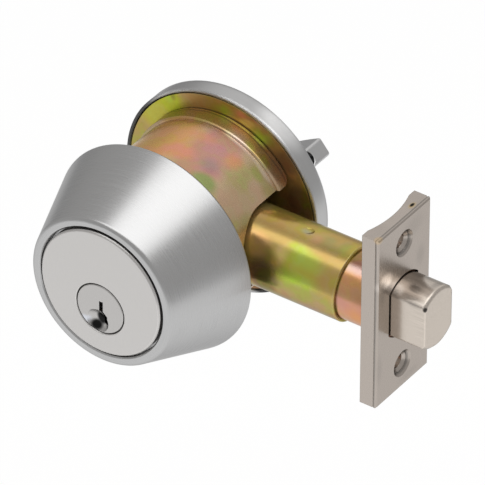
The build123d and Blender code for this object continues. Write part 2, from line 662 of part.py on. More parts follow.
def screw_holes():
    """The two screw holes through both plates, countersunk from the front."""
    depth = SCREW_SINK_R - SCREW_HOLE_R
    holes = []
    for z in (-SCREW_SPACING / 2, SCREW_SPACING / 2):
        sink = Pos(BACKSET - depth, 0, z) * Rot(0, 90, 0) * cone_z(SCREW_HOLE_R, SCREW_SINK_R, depth)
        holes.append(rod_x(SCREW_HOLE_R, BACKPLATE_REAR_X, BACKSET, z=z) + sink)
    return holes


def bolt_backplate():
    outline = Rectangle(FACEPLATE_WIDTH, FACEPLATE_HEIGHT) - Circle(FRONT_TUBE_R + SEAT)
    plate = slab_x(outline, BACKPLATE_REAR_X, FACEPLATE_REAR_X)
    front = plate.faces().sort_by(Axis.X)[-1].edges()
    plate = chamfer(front.filter_by(Axis.Z), BACKPLATE_BEVEL)
    scoop_r = arc_radius(SCOOP_WIDTH / 2, SCOOP_DEPTH)
    scoop_x = BACKPLATE_REAR_X + SCOOP_DEPTH - scoop_r
    top = FACEPLATE_HEIGHT / 2
    for z0 in (-top, top - SCOOP_LENGTH):
        plate -= rod_z(scoop_r, z0, z0 + SCOOP_LENGTH, x=scoop_x)
    for hole in screw_holes():
        plate -= hole
    return plate


def faceplate():
    plate = slab_x(Rectangle(FACEPLATE_WIDTH, FACEPLATE_HEIGHT), FACEPLATE_REAR_X, BACKSET)
    plate = chamfer(plate.faces().sort_by(Axis.X)[-1].edges(), FACEPLATE_BEVEL)
    bolt_hole = round_bar(BOLT_R + BOLT_HOLE_GAP, BOLT_FLATS + 2 * BOLT_HOLE_GAP)
    plate -= slab_x(bolt_hole, FACEPLATE_REAR_X, BACKSET)
    for hole in screw_holes():
        plate -= hole
    return plate


def deadbolt():
    bar = rod_x(BOLT_R, SHOULDER_X, BOLT_END_X)
    bar = chamfer(bar.faces().sort_by(Axis.X)[-1].edges(), BOLT_BEVEL)
    bolt = bar & slab_x(Rectangle(BOLT_FLATS, 2 * BOLT_R), SHOULDER_X, BOLT_END_X)
    tongue_height = TAIL_STRIP_TOP - TAIL_STRIP_BASE
    tongue = Pos(0, TAIL_STRIP_BASE + tongue_height / 2) * Rectangle(TONGUE_THICK, tongue_height)
    bolt += slab_x(tongue, SHOULDER_X - TONGUE_LENGTH, SHOULDER_X)
    bolt -= rod_x(SAW_PIN_R + SEAT, SHOULDER_X, SHOULDER_X + SAW_PIN_LENGTH + FREE, z=SAW_PIN_Z)
    for x in rivet_places():
        bolt -= rod_y(RIVET_R + SEAT, -TONGUE_THICK / 2, TONGUE_THICK / 2, x, rivet_z())
    return bolt


def rivet_places():
    return (SHOULDER_X - TONGUE_LENGTH + RIVET_MARGIN, SHOULDER_X - RIVET_MARGIN)


def rivet_z():
    return (TAIL_STRIP_BASE + TAIL_STRIP_TOP) / 2


def saw_guard_pin():
    return rod_x(SAW_PIN_R, SHOULDER_X, SHOULDER_X + SAW_PIN_LENGTH, z=SAW_PIN_Z)


def bolt_tail_plates():
    """Two plates that reach back from the bolt and take the crank pin in an open-topped slot."""
    slot_floor = TURN_Z + CRANK_R * cos(radians(TURN_ANGLE / 2)) - CRANK_PIN_R - FREE
    strip_x0 = SLOT_X - EAR_HALF
    strip = Pos((strip_x0 + SHOULDER_X) / 2, rivet_z()) * Rectangle(
        SHOULDER_X - strip_x0, TAIL_STRIP_TOP - TAIL_STRIP_BASE
    )
    ear_height = TAIL_EAR_TOP - TAIL_STRIP_BASE
    outline = strip + Pos(SLOT_X, TAIL_STRIP_BASE + ear_height / 2) * Rectangle(2 * EAR_HALF, ear_height)
    slot_middle = (slot_floor + TAIL_EAR_TOP) / 2
    outline -= Pos(SLOT_X, slot_middle) * Rectangle(2 * SLOT_HALF, TAIL_EAR_TOP - slot_floor)
    for x in rivet_places():
        outline -= Pos(x, rivet_z()) * Circle(RIVET_R + SEAT)
    return group([
        slab_y(outline, CHEEK_Y, CHEEK_Y + TAIL_PLATE_THICK),
        slab_y(outline, -CHEEK_Y - TAIL_PLATE_THICK, -CHEEK_Y),
    ])


def tail_rivets():
    outer = CHEEK_Y + TAIL_PLATE_THICK
    rivets = []
    for x in rivet_places():
        rivet = rod_y(RIVET_R, -outer, outer, x, rivet_z())
        rivet += rod_y(RIVET_HEAD_R, -outer - RIVET_HEAD, -outer, x, rivet_z())
        rivets.append(rivet + rod_y(RIVET_HEAD_R, outer, outer + RIVET_HEAD, x, rivet_z()))
    return group(rivets)


PIECES = (
    tapered_collar, cylinder_shell, key_plug, bottom_pins, driver_pins, pin_springs, chamber_caps,
    plug_retainer, retainer_screws, cylinder_set_screw, bore_housing, housing_posts, through_bolts,
    mounting_plate, inside_rose, turn_washer, turn_retaining_ring, thumbturn, tailpiece, crank,
    crank_pin, rear_bolt_tube, tube_rear_cap, front_bolt_tube, bolt_guide_bush, bolt_backplate,
    faceplate, deadbolt, saw_guard_pin, bolt_tail_plates, tail_rivets,
)

os.makedirs("parts", exist_ok=True)
for piece in PIECES:
    export_step(piece(), f"parts/{piece.__name__}.step")
print(f"bolt travel per radian {TRAVEL_PER_RADIAN:.4f} mm")
print(f"bolt back {BOLT_BACKWARD:.3f} mm, forward {BOLT_FORWARD:.3f} mm")
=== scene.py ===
import logging
import math
from dataclasses import dataclass
from enum import Enum
from functools import partial
from typing import Optional, Sequence, Union

import bmesh
import bpy
from bpy.types import ID, Material, Mesh, Node, NodeInputs, NodeOutputs, NodeTree, Object, World
from bpy.types import NodeSocket as Socket
from mathutils import Matrix, Vector


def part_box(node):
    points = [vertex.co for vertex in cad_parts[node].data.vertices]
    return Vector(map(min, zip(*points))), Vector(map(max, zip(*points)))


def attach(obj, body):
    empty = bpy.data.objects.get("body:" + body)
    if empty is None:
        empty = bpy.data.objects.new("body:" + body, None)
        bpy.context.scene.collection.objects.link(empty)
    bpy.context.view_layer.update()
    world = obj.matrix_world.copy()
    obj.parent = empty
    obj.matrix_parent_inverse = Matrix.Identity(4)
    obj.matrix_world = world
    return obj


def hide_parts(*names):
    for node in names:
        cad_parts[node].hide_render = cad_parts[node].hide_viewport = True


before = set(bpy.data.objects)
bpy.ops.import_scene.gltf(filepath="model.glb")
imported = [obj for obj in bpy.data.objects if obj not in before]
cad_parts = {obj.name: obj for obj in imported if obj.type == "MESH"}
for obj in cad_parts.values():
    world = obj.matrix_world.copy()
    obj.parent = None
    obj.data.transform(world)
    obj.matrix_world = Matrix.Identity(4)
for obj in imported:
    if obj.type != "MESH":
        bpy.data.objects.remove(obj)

log = logging.getLogger("deadbolt")

Colour = tuple[float, float, float]
Point = tuple[float, float, float]
Profile = Sequence[tuple[float, float]]
Value = Union[float, Sequence[float], Socket]
Inputs = dict[Union[str, int], Value]

MM = 0.001
TURN_Z = -5.35  # height of the axis of plug, crank and thumbturn, in millimetres
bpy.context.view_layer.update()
NOISE_RANGE = (0.3, 0.7)  # where nearly all of a noise lies
SOCKET_KINDS = {  # of the groups' sockets that aren't numbers
    **dict.fromkeys(("Place", "Run", "Normal", "Centre", "Reach"), "NodeSocketVector"),
    **dict.fromkeys(("Colour", "Patch"), "NodeSocketColor"),
}

CHROME: Colour = (0.56, 0.56, 0.56)
FACE_CHROME: Colour = (0.655, 0.64, 0.625)
NICKEL: Colour = (0.55, 0.49, 0.44)
WORN_NICKEL: Colour = (0.72, 0.645, 0.57)
# grey-brown: real smudges and a dark joint line, and a painted dark reflection of the bolt on the faceplate
SMUDGE_AND_SHADE: Colour = (0.26, 0.24, 0.22)
STEEL: Colour = (0.42, 0.42, 0.43)
BRASS: Colour = (0.66, 0.48, 0.2)
# near black: the black nylon's own colour, and painted shade in gaps, recesses and hollows
BLACK_AND_SHADE: Colour = (0.02, 0.02, 0.02)
GOLD: Colour = (0.6, 0.48, 0.12)
OCHRE: Colour = (0.54, 0.33, 0.09)
OLIVE: Colour = (0.4, 0.38, 0.12)
MOSS: Colour = (0.26, 0.4, 0.12)
GREEN: Colour = (0.47, 0.69, 0.07)
LEMON: Colour = (0.52, 0.54, 0.03)
TAN: Colour = (0.66, 0.48, 0.31)
PINK: Colour = (0.62, 0.27, 0.25)
SALMON: Colour = (0.82, 0.31, 0.2)
ORANGE: Colour = (0.8, 0.37, 0.12)
COPPER: Colour = (0.7, 0.35, 0.22)
MAUVE: Colour = (0.4, 0.26, 0.26)
RUST: Colour = (0.42, 0.16, 0.11)
BROWN: Colour = (0.22, 0.13, 0.05)
WARM_WHITE: Colour = (1.0, 0.9, 0.8)


class Grain(Enum):
    """Direction of the brush marks on a satin surface."""

    TURNED = "turned"  # round the cylinder axis
    UPRIGHT = "upright"  # along Z
    LONG = "long"  # along the bolt


class Recess(Enum):
    """What a driver goes into on a fastener's head."""

    SLOT = "slot"
    CROSS = "cross"
    HEX = "hex"


class NodeSketch:
    """Adds and links nodes in one tree, so that a finish reads as a list of steps."""

    def __init__(self, tree: NodeTree) -> None:
        """Keeps the node tree of a material, world, group or modifier."""
        self.tree = tree

    def add(self, kind: str, values: Optional[Inputs] = None, **settings: object) -> Node:
        """Adds one node.

        Args:
            kind: Type name of the node.
            values: What goes into its inputs, by name or number: a constant, or a socket to link.
            **settings: Properties of the node itself.

        Returns:
            The new node.
        """
        node = self.tree.nodes.new(kind)
        for name, setting in settings.items():
            setattr(node, name, setting)
        for name, value in (values or {}).items():
            self.feed(node.inputs[name], value)
        return node

    def out(self, kind: str, values: Optional[Inputs] = None, **settings: object) -> Socket:
        """Adds one node, and gives its first output."""
        return self.add(kind, values, **settings).outputs[0]

    def feed(self, socket: Socket, value: Value) -> None:
        """Links a socket, or sets its constant.

        Args:
            socket: The input to fill.
            value: Another node's output, or a constant.
        """
        if isinstance(value, Socket):
            self.tree.links.new(value, socket)
        elif socket.type == "RGBA" and len(value) == 3:
            socket.default_value = (*value, 1.0)
        else:
            socket.default_value = value

    def math(self, operation: str, first: Value, second: Value = 0.0, clamp: bool = False) -> Socket:
        """Gives the result of a Math node, kept from 0 to 1 where it is clamped."""
        return self.out("ShaderNodeMath", {0: first, 1: second}, operation=operation, use_clamp=clamp)

    def vector(self, operation: str, first: Value, second: Value = (0.0, 0.0, 0.0)) -> Socket:
        """Gives the result of a Vector Math node: a number for LENGTH and DOT_PRODUCT, else a vector."""
        node = self.add("ShaderNodeVectorMath", {0: first, 1: second}, operation=operation)
        return node.outputs["Value" if operation in ("LENGTH", "DOT_PRODUCT") else "Vector"]

    def combine(self, x: Value = 0.0, y: Value = 0.0, z: Value = 0.0) -> Socket:
        """Puts three numbers together as a vector."""
        return self.out("ShaderNodeCombineXYZ", {"X": x, "Y": y, "Z": z})

    def split(self, vector: Value) -> NodeOutputs:
        """Takes a vector apart, into outputs named X, Y and Z."""
        return self.add("ShaderNodeSeparateXYZ", {0: vector}).outputs

    def mix(self, factor: Value, first: Value, second: Value) -> Socket:
        """Mixes two colours: all of the first at 0, all of the second at 1."""
        values = {"Factor": factor, 6: first, 7: second}
        return self.add("ShaderNodeMix", values, data_type="RGBA").outputs[2]

    def remap(
        self, value: Value, low: Value, high: Value, new_low: float = 0.0, new_high: float = 1.0
    ) -> Socket:
        """Maps low and high to new_low and new_high, with smooth ends and nothing past them."""
        values = {"Value": value, "From Min": low, "From Max": high, "To Min": new_low, "To Max": new_high}
        return self.out("ShaderNodeMapRange", values, interpolation_type="SMOOTHSTEP")

    def noise(self, place: Value, scale: Value, octaves: float, rough: float = 0.5) -> NodeOutputs:
        """Gives the outputs of a Noise Texture, in which the finer octaves count by rough."""
        values = {"Vector": place, "Scale": scale, "Detail": octaves, "Roughness": rough}
        return self.add("ShaderNodeTexNoise", values).outputs


def empty_sketch(block: Union[Material, World]) -> NodeSketch:
    """Empties the nodes of a material or a world.

    Args:
        block: The material or world.

    Returns:
        The sketch of its tree.
    """
    block.use_nodes = True
    block.node_tree.nodes.clear()
    return NodeSketch(block.node_tree)


def place_object(name: str, data: ID) -> Object:
    """Adds an object to the scene.

    Args:
        name: Name of the object.
        data: Its mesh, light or camera.

    Returns:
        The object, at the origin.
    """
    placed = bpy.data.objects.new(name, data)
    bpy.context.scene.collection.objects.link(placed)
    return placed


def new_group(
    name: str, inputs: Sequence[str], outputs: Sequence[str]
) -> tuple[NodeSketch, NodeOutputs, NodeInputs]:
    """Starts a shader node group with named sockets.

    Args:
        name: Name of the group.
        inputs: Names of its inputs.
        outputs: Names of its outputs.

    Returns:
        The sketch of its tree, what it is given, and the sockets that its results are fed to.
    """
    tree = bpy.data.node_groups.new(name, "ShaderNodeTree")
    for direction, sockets in (("INPUT", inputs), ("OUTPUT", outputs)):
        for socket in sockets:
            kind = SOCKET_KINDS.get(socket, "NodeSocketFloat")
            tree.interface.new_socket(socket, in_out=direction, socket_type=kind)
    sketch = NodeSketch(tree)
    given = sketch.add("NodeGroupInput").outputs
    return sketch, given, sketch.add("NodeGroupOutput").inputs


class EffectGroups:
    """Shader effects that more than one finish uses, each a node group built once."""

    MARK_OCTAVES = 4.0
    MARK_ROUGH = 0.65
    CLOUD_OCTAVES = 2.0
    FILM_OCTAVES = 3.0
    FILM_ROUGH = 0.55
    RING_SCALE = 2.2  # how often a turned mark breaks off on its way round
    EDGE_SAMPLES = 6
    EDGE_BEND = (0.99, 0.86)  # cosine of the bend where an edge begins, and where it is full
    SPECK_RATIO = 14.0  # how much finer a speck is than a cloud
    UNDER_FACING = (-0.3, -0.6)  # the normal's Y where the underside begins, and where it is full
    FILM_STOPS = ((0.3, PINK), (0.4, COPPER), (0.47, TAN), (0.53, GOLD), (0.6, GREEN), (0.7, OCHRE))

    def __init__(self) -> None:
        """Builds the groups."""
        self.turned_grain = self._turned_grain()
        self.drawn_grain = self._drawn_grain()
        self.rounded_edge = self._rounded_edge()
        self.patch = self._patch()
        self.patina = self._patina()
        self.painted_underside_shade = self._painted_underside_shade()
        self.film = self._film()

    def _turned_grain(self) -> NodeTree:
        """Brush marks that run round the Y axis, as a lathe and a belt leave them.

        Returns:
            The group: it takes a place and a pitch, and puts out a streak from 0 to 1.
        """
        sketch, given, result = new_group("turned_grain", ("Place", "Pitch"), ("Streak",))
        parts = sketch.split(given["Place"])
        flat = sketch.combine(parts["X"], parts["Z"])
        radius = sketch.vector("LENGTH", flat)
        across = sketch.math("DIVIDE", sketch.math("ADD", parts["Y"], radius), given["Pitch"])
        ring = sketch.split(sketch.vector("NORMALIZE", flat))
        spot = sketch.combine(ring["X"], ring["Y"], across)
        streak = sketch.noise(spot, self.RING_SCALE, self.MARK_OCTAVES, self.MARK_ROUGH)
        sketch.feed(result["Streak"], streak["Fac"])
        return sketch.tree

    def _drawn_grain(self) -> NodeTree:
        """Straight brush marks.

        Returns:
            The group: it takes a place and the noise scale along each axis, and puts out a streak.
        """
        sketch, given, result = new_group("drawn_grain", ("Place", "Run"), ("Streak",))
        spot = sketch.vector("MULTIPLY", given["Place"], given["Run"])
        streak = sketch.noise(spot, 1.0, self.MARK_OCTAVES, self.MARK_ROUGH)
        sketch.feed(result["Streak"], streak["Fac"])
        return sketch.tree

    def _rounded_edge(self) -> NodeTree:
        """Softly rounded edges, and a mask of where they are.

        Returns:
            The group: it takes a radius, and puts out a normal and a mask from 0 to 1.
        """
        sketch, given, result = new_group("rounded_edge", ("Radius",), ("Normal", "Edge"))
        soft = sketch.out("ShaderNodeBevel", {"Radius": given["Radius"]}, samples=self.EDGE_SAMPLES)
        hard = sketch.add("ShaderNodeNewGeometry").outputs["Normal"]
        sketch.feed(result["Edge"], sketch.remap(sketch.vector("DOT_PRODUCT", soft, hard), *self.EDGE_BEND))
        sketch.feed(result["Normal"], soft)
        return sketch.tree

    def _patch(self) -> NodeTree:
        """One soft-edged patch of another colour, as a plating bath or a finger leaves it, or of painted
        light and shade.

        Returns:
            The group: it takes a place, the colour so far and the patch, and puts out the new colour.
        """
        inputs = ("Place", "Colour", "Patch", "Centre", "Reach", "Core", "Strength")
        sketch, given, result = new_group("patch", inputs, ("Colour",))
        offset = sketch.vector("SUBTRACT", given["Place"], given["Centre"])
        away = sketch.vector("LENGTH", sketch.vector("DIVIDE", offset, given["Reach"]))
        share = sketch.math("MULTIPLY", sketch.remap(away, 1.0, given["Core"]), given["Strength"])
        sketch.feed(result["Colour"], sketch.mix(share, given["Colour"], given["Patch"]))
        return sketch.tree

    def _patina(self) -> NodeTree:
        """Slow and fine unevenness of a surface.

        Returns:
            The group: it takes a place, a scale and a warp, and puts out a slow cloud, a fine speck and
            a warped place.
        """
        sketch, given, result = new_group("patina", ("Place", "Scale", "Warp"), ("Cloud", "Speck", "Place"))
        slow = sketch.noise(given["Place"], given["Scale"], self.CLOUD_OCTAVES)
        finer = sketch.math("MULTIPLY", given["Scale"], self.SPECK_RATIO)
        fine = sketch.noise(given["Place"], finer, self.CLOUD_OCTAVES)
        shift = sketch.vector("SUBTRACT", slow["Color"], (0.5, 0.5, 0.5))
        warp = sketch.out("ShaderNodeVectorMath", {0: shift, "Scale": given["Warp"]}, operation="SCALE")
        sketch.feed(result["Cloud"], slow["Fac"])
        sketch.feed(result["Speck"], fine["Fac"])
        sketch.feed(result["Place"], sketch.vector("ADD", given["Place"], warp))
        return sketch.tree

    def _painted_underside_shade(self) -> NodeTree:
        """Painted shade on the faces turned towards the outside of the door.

        Returns:
            The group: it puts out a mask from 0 to 1.
        """
        sketch, _, result = new_group("painted_underside_shade", (), ("Mask",))
        facing = sketch.split(sketch.add("ShaderNodeNewGeometry").outputs["Normal"])
        sketch.feed(result["Mask"], sketch.remap(facing["Y"], *self.UNDER_FACING))
        return sketch.tree

    def _film(self) -> NodeTree:
        """Interference colours of a chromate film, which change with its thickness.

        Returns:
            The group: it takes a place and a scale, and puts out a colour.
        """
        sketch, given, result = new_group("film", ("Place", "Scale"), ("Colour",))
        thickness = sketch.noise(given["Place"], given["Scale"], self.FILM_OCTAVES, self.FILM_ROUGH)
        ramp = sketch.add("ShaderNodeValToRGB", {"Fac": thickness["Fac"]})
        elements = ramp.color_ramp.elements
        for place, _ in self.FILM_STOPS[1:-1]:
            elements.new(place)
        for element, (place, colour) in zip(elements, self.FILM_STOPS):
            element.position = place
            element.color = (*colour, 1.0)
        sketch.feed(result["Colour"], ramp.outputs["Color"])
        return sketch.tree


@dataclass(frozen=True)
class Patch:
    """One soft patch of colour on a surface."""

    centre: Point  # millimetres, in the frame
    reach: Point  # half its length along each axis, in millimetres
    colour: Colour
    strength: float = 1.0
    core: float = 0.15  # share of the reach that is all of one colour


class Finish:
    """A surface finish: builds one material in the steps that its kinds share."""

    MARK_LENGTH = 40.0  # length of a straight brush mark, in pitches

    def __init__(self, name: str, effects: EffectGroups) -> None:
        """Starts an empty material.

        Args:
            name: Name of the material.
            effects: The shared shader groups.
        """
        self.material = bpy.data.materials.new(name)
        self.effects = effects
        self.sketch = empty_sketch(self.material)
        self.place = self.sketch.add("ShaderNodeTexCoord").outputs["Object"]
        self.shader = self.sketch.add("ShaderNodeBsdfPrincipled")
        self.sketch.add("ShaderNodeOutputMaterial", {"Surface": self.shader.outputs["BSDF"]})

    def effect(self, tree: NodeTree, **values: Value) -> NodeOutputs:
        """Places one shared group with its values, and gives its outputs."""
        return self.sketch.add("ShaderNodeGroup", values, node_tree=tree).outputs

    def grain(self, grain: Grain, pitch: float) -> Socket:
        """Brush marks in one direction.

        Args:
            grain: Direction of the marks.
            pitch: About the distance between two marks, in millimetres.

        Returns:
            A streak from 0 to 1.
        """
        if grain is Grain.TURNED:
            return self.effect(self.effects.turned_grain, Place=self.place, Pitch=pitch * MM)["Streak"]
        fine = 1.0 / (pitch * MM)
        coarse = fine / self.MARK_LENGTH
        run = (fine, fine, coarse) if grain is Grain.UPRIGHT else (coarse, fine, fine)
        return self.effect(self.effects.drawn_grain, Place=self.place, Run=run)["Streak"]

    def patches(self, patches: Sequence[Patch], colour: Value, place: Value) -> Value:
        """Adds patches of colour, each over the one before.

        Args:
            patches: The patches.
            colour: The colour so far.
            place: Where they are measured, warped or not.

        Returns:
            The new colour.
        """
        for patch in patches:
            colour = self.effect(
                self.effects.patch,
                Place=place,
                Colour=colour,
                Patch=patch.colour,
                Centre=tuple(MM * part for part in patch.centre),
                Reach=tuple(MM * part for part in patch.reach),
                Core=patch.core,
                Strength=patch.strength,
            )["Colour"]
        return colour

    def bump(self, height: Value, strength: float, depth: float, normal: Optional[Value] = None) -> None:
        """Feeds a height to the shader's normal.

        Args:
            height: Height from 0 to 1.
            strength: How much of the bump shows.
            depth: Height of a full bump, in millimetres.
            normal: Normal that the bump starts from.
        """
        values: Inputs = {"Height": height, "Strength": strength, "Distance": depth * MM}
        if normal is not None:
            values["Normal"] = normal
        self.sketch.feed(self.shader.inputs["Normal"], self.sketch.out("ShaderNodeBump", values))

    def coat(self, colour: Value, rough: Value) -> None:
        """Feeds colour and roughness to the shader."""
        self.sketch.feed(self.shader.inputs["Base Color"], colour)
        self.sketch.feed(self.shader.inputs["Roughness"], rough)

    def metal(self, colour: Value, rough: Value, tint: float, metallic: float = 1.0) -> None:
        """Feeds colour and roughness, and makes the shader a metal.

        Args:
            colour: Colour seen square on.
            rough: Roughness.
            tint: Grey that the metal turns to when seen from the side.
            metallic: Share of metal.
        """
        self.coat(colour, rough)
        self.shader.inputs["Metallic"].default_value = metallic
        self.shader.inputs["Specular Tint"].default_value = (tint, tint, tint, 1.0)


def shade(colour: Colour, factor: float) -> Colour:
    """Darkens or lightens a colour, up to white."""
    return tuple(min(1.0, factor * part) for part in colour)


@dataclass(frozen=True)
class SatinMetal:
    """Brushed plate: chrome or nickel with fine marks one way, and brighter edges that are a painted
    highlight.
    """

    name: str
    colour: Colour
    grain: Grain
    roughness: float = 0.3
    grain_pitch: float = 0.1  # millimetres
    grain_depth: float = 0.002
    grain_bump: float = 0.5
    grain_shade: float = 0.06  # how much darker a deep mark is
    deep_mark: tuple[float, float] = (0.65, 0.35)  # streak where a mark begins, and where it is darkest
    rough_spread: tuple[float, float] = (0.03, 0.04)  # how much smoother and rougher the marks are
    mottle: float = 0.05  # how much darker a cloudy spot is
    mottle_scale: float = 90.0
    mottle_range: tuple[float, float] = (0.4, 0.65)  # cloud where a spot begins, and where it is full
    wander: float = 1.2  # how far its patches wander, in millimetres
    edge_radius: float = 0.25
    # how much lighter an edge's colour is: painted highlight
    edge_highlight: float = 1.1
    edge_polish: float = 0.08  # how much smoother an edge is
    tint: float = 0.6
    # whether the faces turned towards the outside of the door get painted shade
    paint_underside_shade: bool = False
    underside_shade: float = 0.12
    patches: tuple[Patch, ...] = ()

    def make(self, effects: EffectGroups) -> Material:
        """Builds the material.

        Args:
            effects: The shared shader groups.

        Returns:
            The material.
        """
        finish = Finish(self.name, effects)
        sketch = finish.sketch
        streak = finish.grain(self.grain, self.grain_pitch)
        patina = finish.effect(
            effects.patina, Place=finish.place, Scale=self.mottle_scale, Warp=self.wander * MM
        )
        edge = finish.effect(effects.rounded_edge, Radius=self.edge_radius * MM)
        deep = sketch.remap(streak, *self.deep_mark)
        colour = sketch.mix(deep, self.colour, shade(self.colour, 1.0 - self.grain_shade))
        cloudy = sketch.remap(patina["Cloud"], *self.mottle_range)
        colour = sketch.mix(cloudy, colour, shade(self.colour, 1.0 - self.mottle))
        # painted highlight along the edges
        colour = sketch.mix(edge["Edge"], colour, shade(self.colour, self.edge_highlight))
        colour = finish.patches(self.patches, colour, patina["Place"])
        # painted shade on the faces turned towards the outside of the door
        if self.paint_underside_shade:
            mask = finish.effect(effects.painted_underside_shade)["Mask"]
            colour = sketch.mix(mask, colour, shade(self.colour, self.underside_shade))
        smoother, rougher = self.rough_spread
        rough = sketch.remap(streak, *NOISE_RANGE, self.roughness - smoother, self.roughness + rougher)
        rough = sketch.math("SUBTRACT", rough, sketch.math("MULTIPLY", edge["Edge"], self.edge_polish))
        finish.metal(colour, rough, self.tint)
        finish.bump(streak, self.grain_bump, self.grain_depth, edge["Normal"])
        return finish.material


@dataclass(frozen=True)
class ZincPlate:
    """Zinc plate with a chromate film that shifts between gold, green and pink."""

    name: str
    colour: Colour
    cloud_colour: Colour
    patches: tuple[Patch, ...] = ()
    roughness: float = 0.26
    warp: float = 3.0  # how far the film's patches wander, in millimetres
    cloud_scale: float = 60.0
    cloud_range: tuple[float, float] = (0.35, 0.65)  # cloud where its colour begins, and where it is full
    cloud_share: float = 0.6
    film: float = 0.2  # how much its thin film colours it
    film_scale: float = 120.0
    edge_radius: float = 0.25
    # how far an edge's colour goes towards warm white: painted highlight
    edge_highlight: float = 1.12
    tint: float = 0.7
    metallic: float = 0.74  # the rest is light scattered in the film
    rough_spread: float = 0.02
    speck_bump: float = 0.03
    speck_depth: float = 0.004

    def make(self, effects: EffectGroups) -> Material:
        """Builds the material.

        Args:
            effects: The shared shader groups.

        Returns:
            The material.
        """
        finish = Finish(self.name, effects)
        sketch = finish.sketch
        patina = finish.effect(
            effects.patina, Place=finish.place, Scale=self.cloud_scale, Warp=self.warp * MM
        )
        edge = finish.effect(effects.rounded_edge, Radius=self.edge_radius * MM)
        cloudy = sketch.remap(patina["Cloud"], *self.cloud_range, 0.0, self.cloud_share)
        colour = sketch.mix(cloudy, self.colour, self.cloud_colour)
        colour = finish.patches(self.patches, colour, patina["Place"])
        film = finish.effect(effects.film, Place=patina["Place"], Scale=self.film_scale)["Colour"]
        colour = sketch.mix(self.film, colour, film)
        # painted highlight: the edges mixed towards warm white
        bright = sketch.math("MULTIPLY", edge["Edge"], self.edge_highlight - 1.0)
        colour = sketch.mix(bright, colour, WARM_WHITE)
        low, high = self.roughness - self.rough_spread, self.roughness + self.rough_spread
        finish.metal(colour, sketch.remap(patina["Speck"], *NOISE_RANGE, low, high), self.tint, self.metallic)
        finish.bump(patina["Speck"], self.speck_bump, self.speck_depth, edge["Normal"])
        return finish.material


@dataclass(frozen=True)
class Moulded:
    """Moulded plastic with a fine texture."""

    name: str
    colour: Colour
    roughness: float = 0.5
    rough_spread: float = 0.1
    cloud_scale: float = 300.0
    cloud_shade: float = 1.3  # how much lighter a cloudy spot is
    speck_bump: float = 0.3
    speck_depth: float = 0.02

    def make(self, effects: EffectGroups) -> Material:
        """Builds the material.

        Args:
            effects: The shared shader groups.

        Returns:
            The material.
        """
        finish = Finish(self.name, effects)
        sketch = finish.sketch
        patina = finish.effect(effects.patina, Place=finish.place, Scale=self.cloud_scale, Warp=0.0)
        colour = sketch.mix(patina["Cloud"], self.colour, shade(self.colour, self.cloud_shade))
        low, high = self.roughness - self.rough_spread, self.roughness + self.rough_spread
        finish.coat(colour, sketch.remap(patina["Speck"], *NOISE_RANGE, low, high))
        finish.bump(patina["Speck"], self.speck_bump, self.speck_depth)
        return finish.material


SurfaceFinish = Union[SatinMetal, ZincPlate, Moulded]


class PaintShop:
    """Makes each finish's material once, and paints nodes with it."""

    def __init__(self) -> None:
        """Builds the shared shader groups."""
        self.effects = EffectGroups()
        self.materials: dict[str, Material] = {}

    def material(self, finish: SurfaceFinish) -> Material:
        """Gives a finish's material.

        Args:
            finish: The finish.

        Returns:
            Its material, made the first time it is asked for.
        """
        if finish.name not in self.materials:
            self.materials[finish.name] = finish.make(self.effects)
        return self.materials[finish.name]

    def paint(self, finishes: dict[str, SurfaceFinish]) -> None:
        """Gives CAD nodes their materials.

        Args:
            finishes: Finish of each node, by its name.
        """
        for node, finish in finishes.items():
            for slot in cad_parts[node].material_slots:
                slot.material = self.material(finish)
            log.info("%s: %s", node, finish.name)


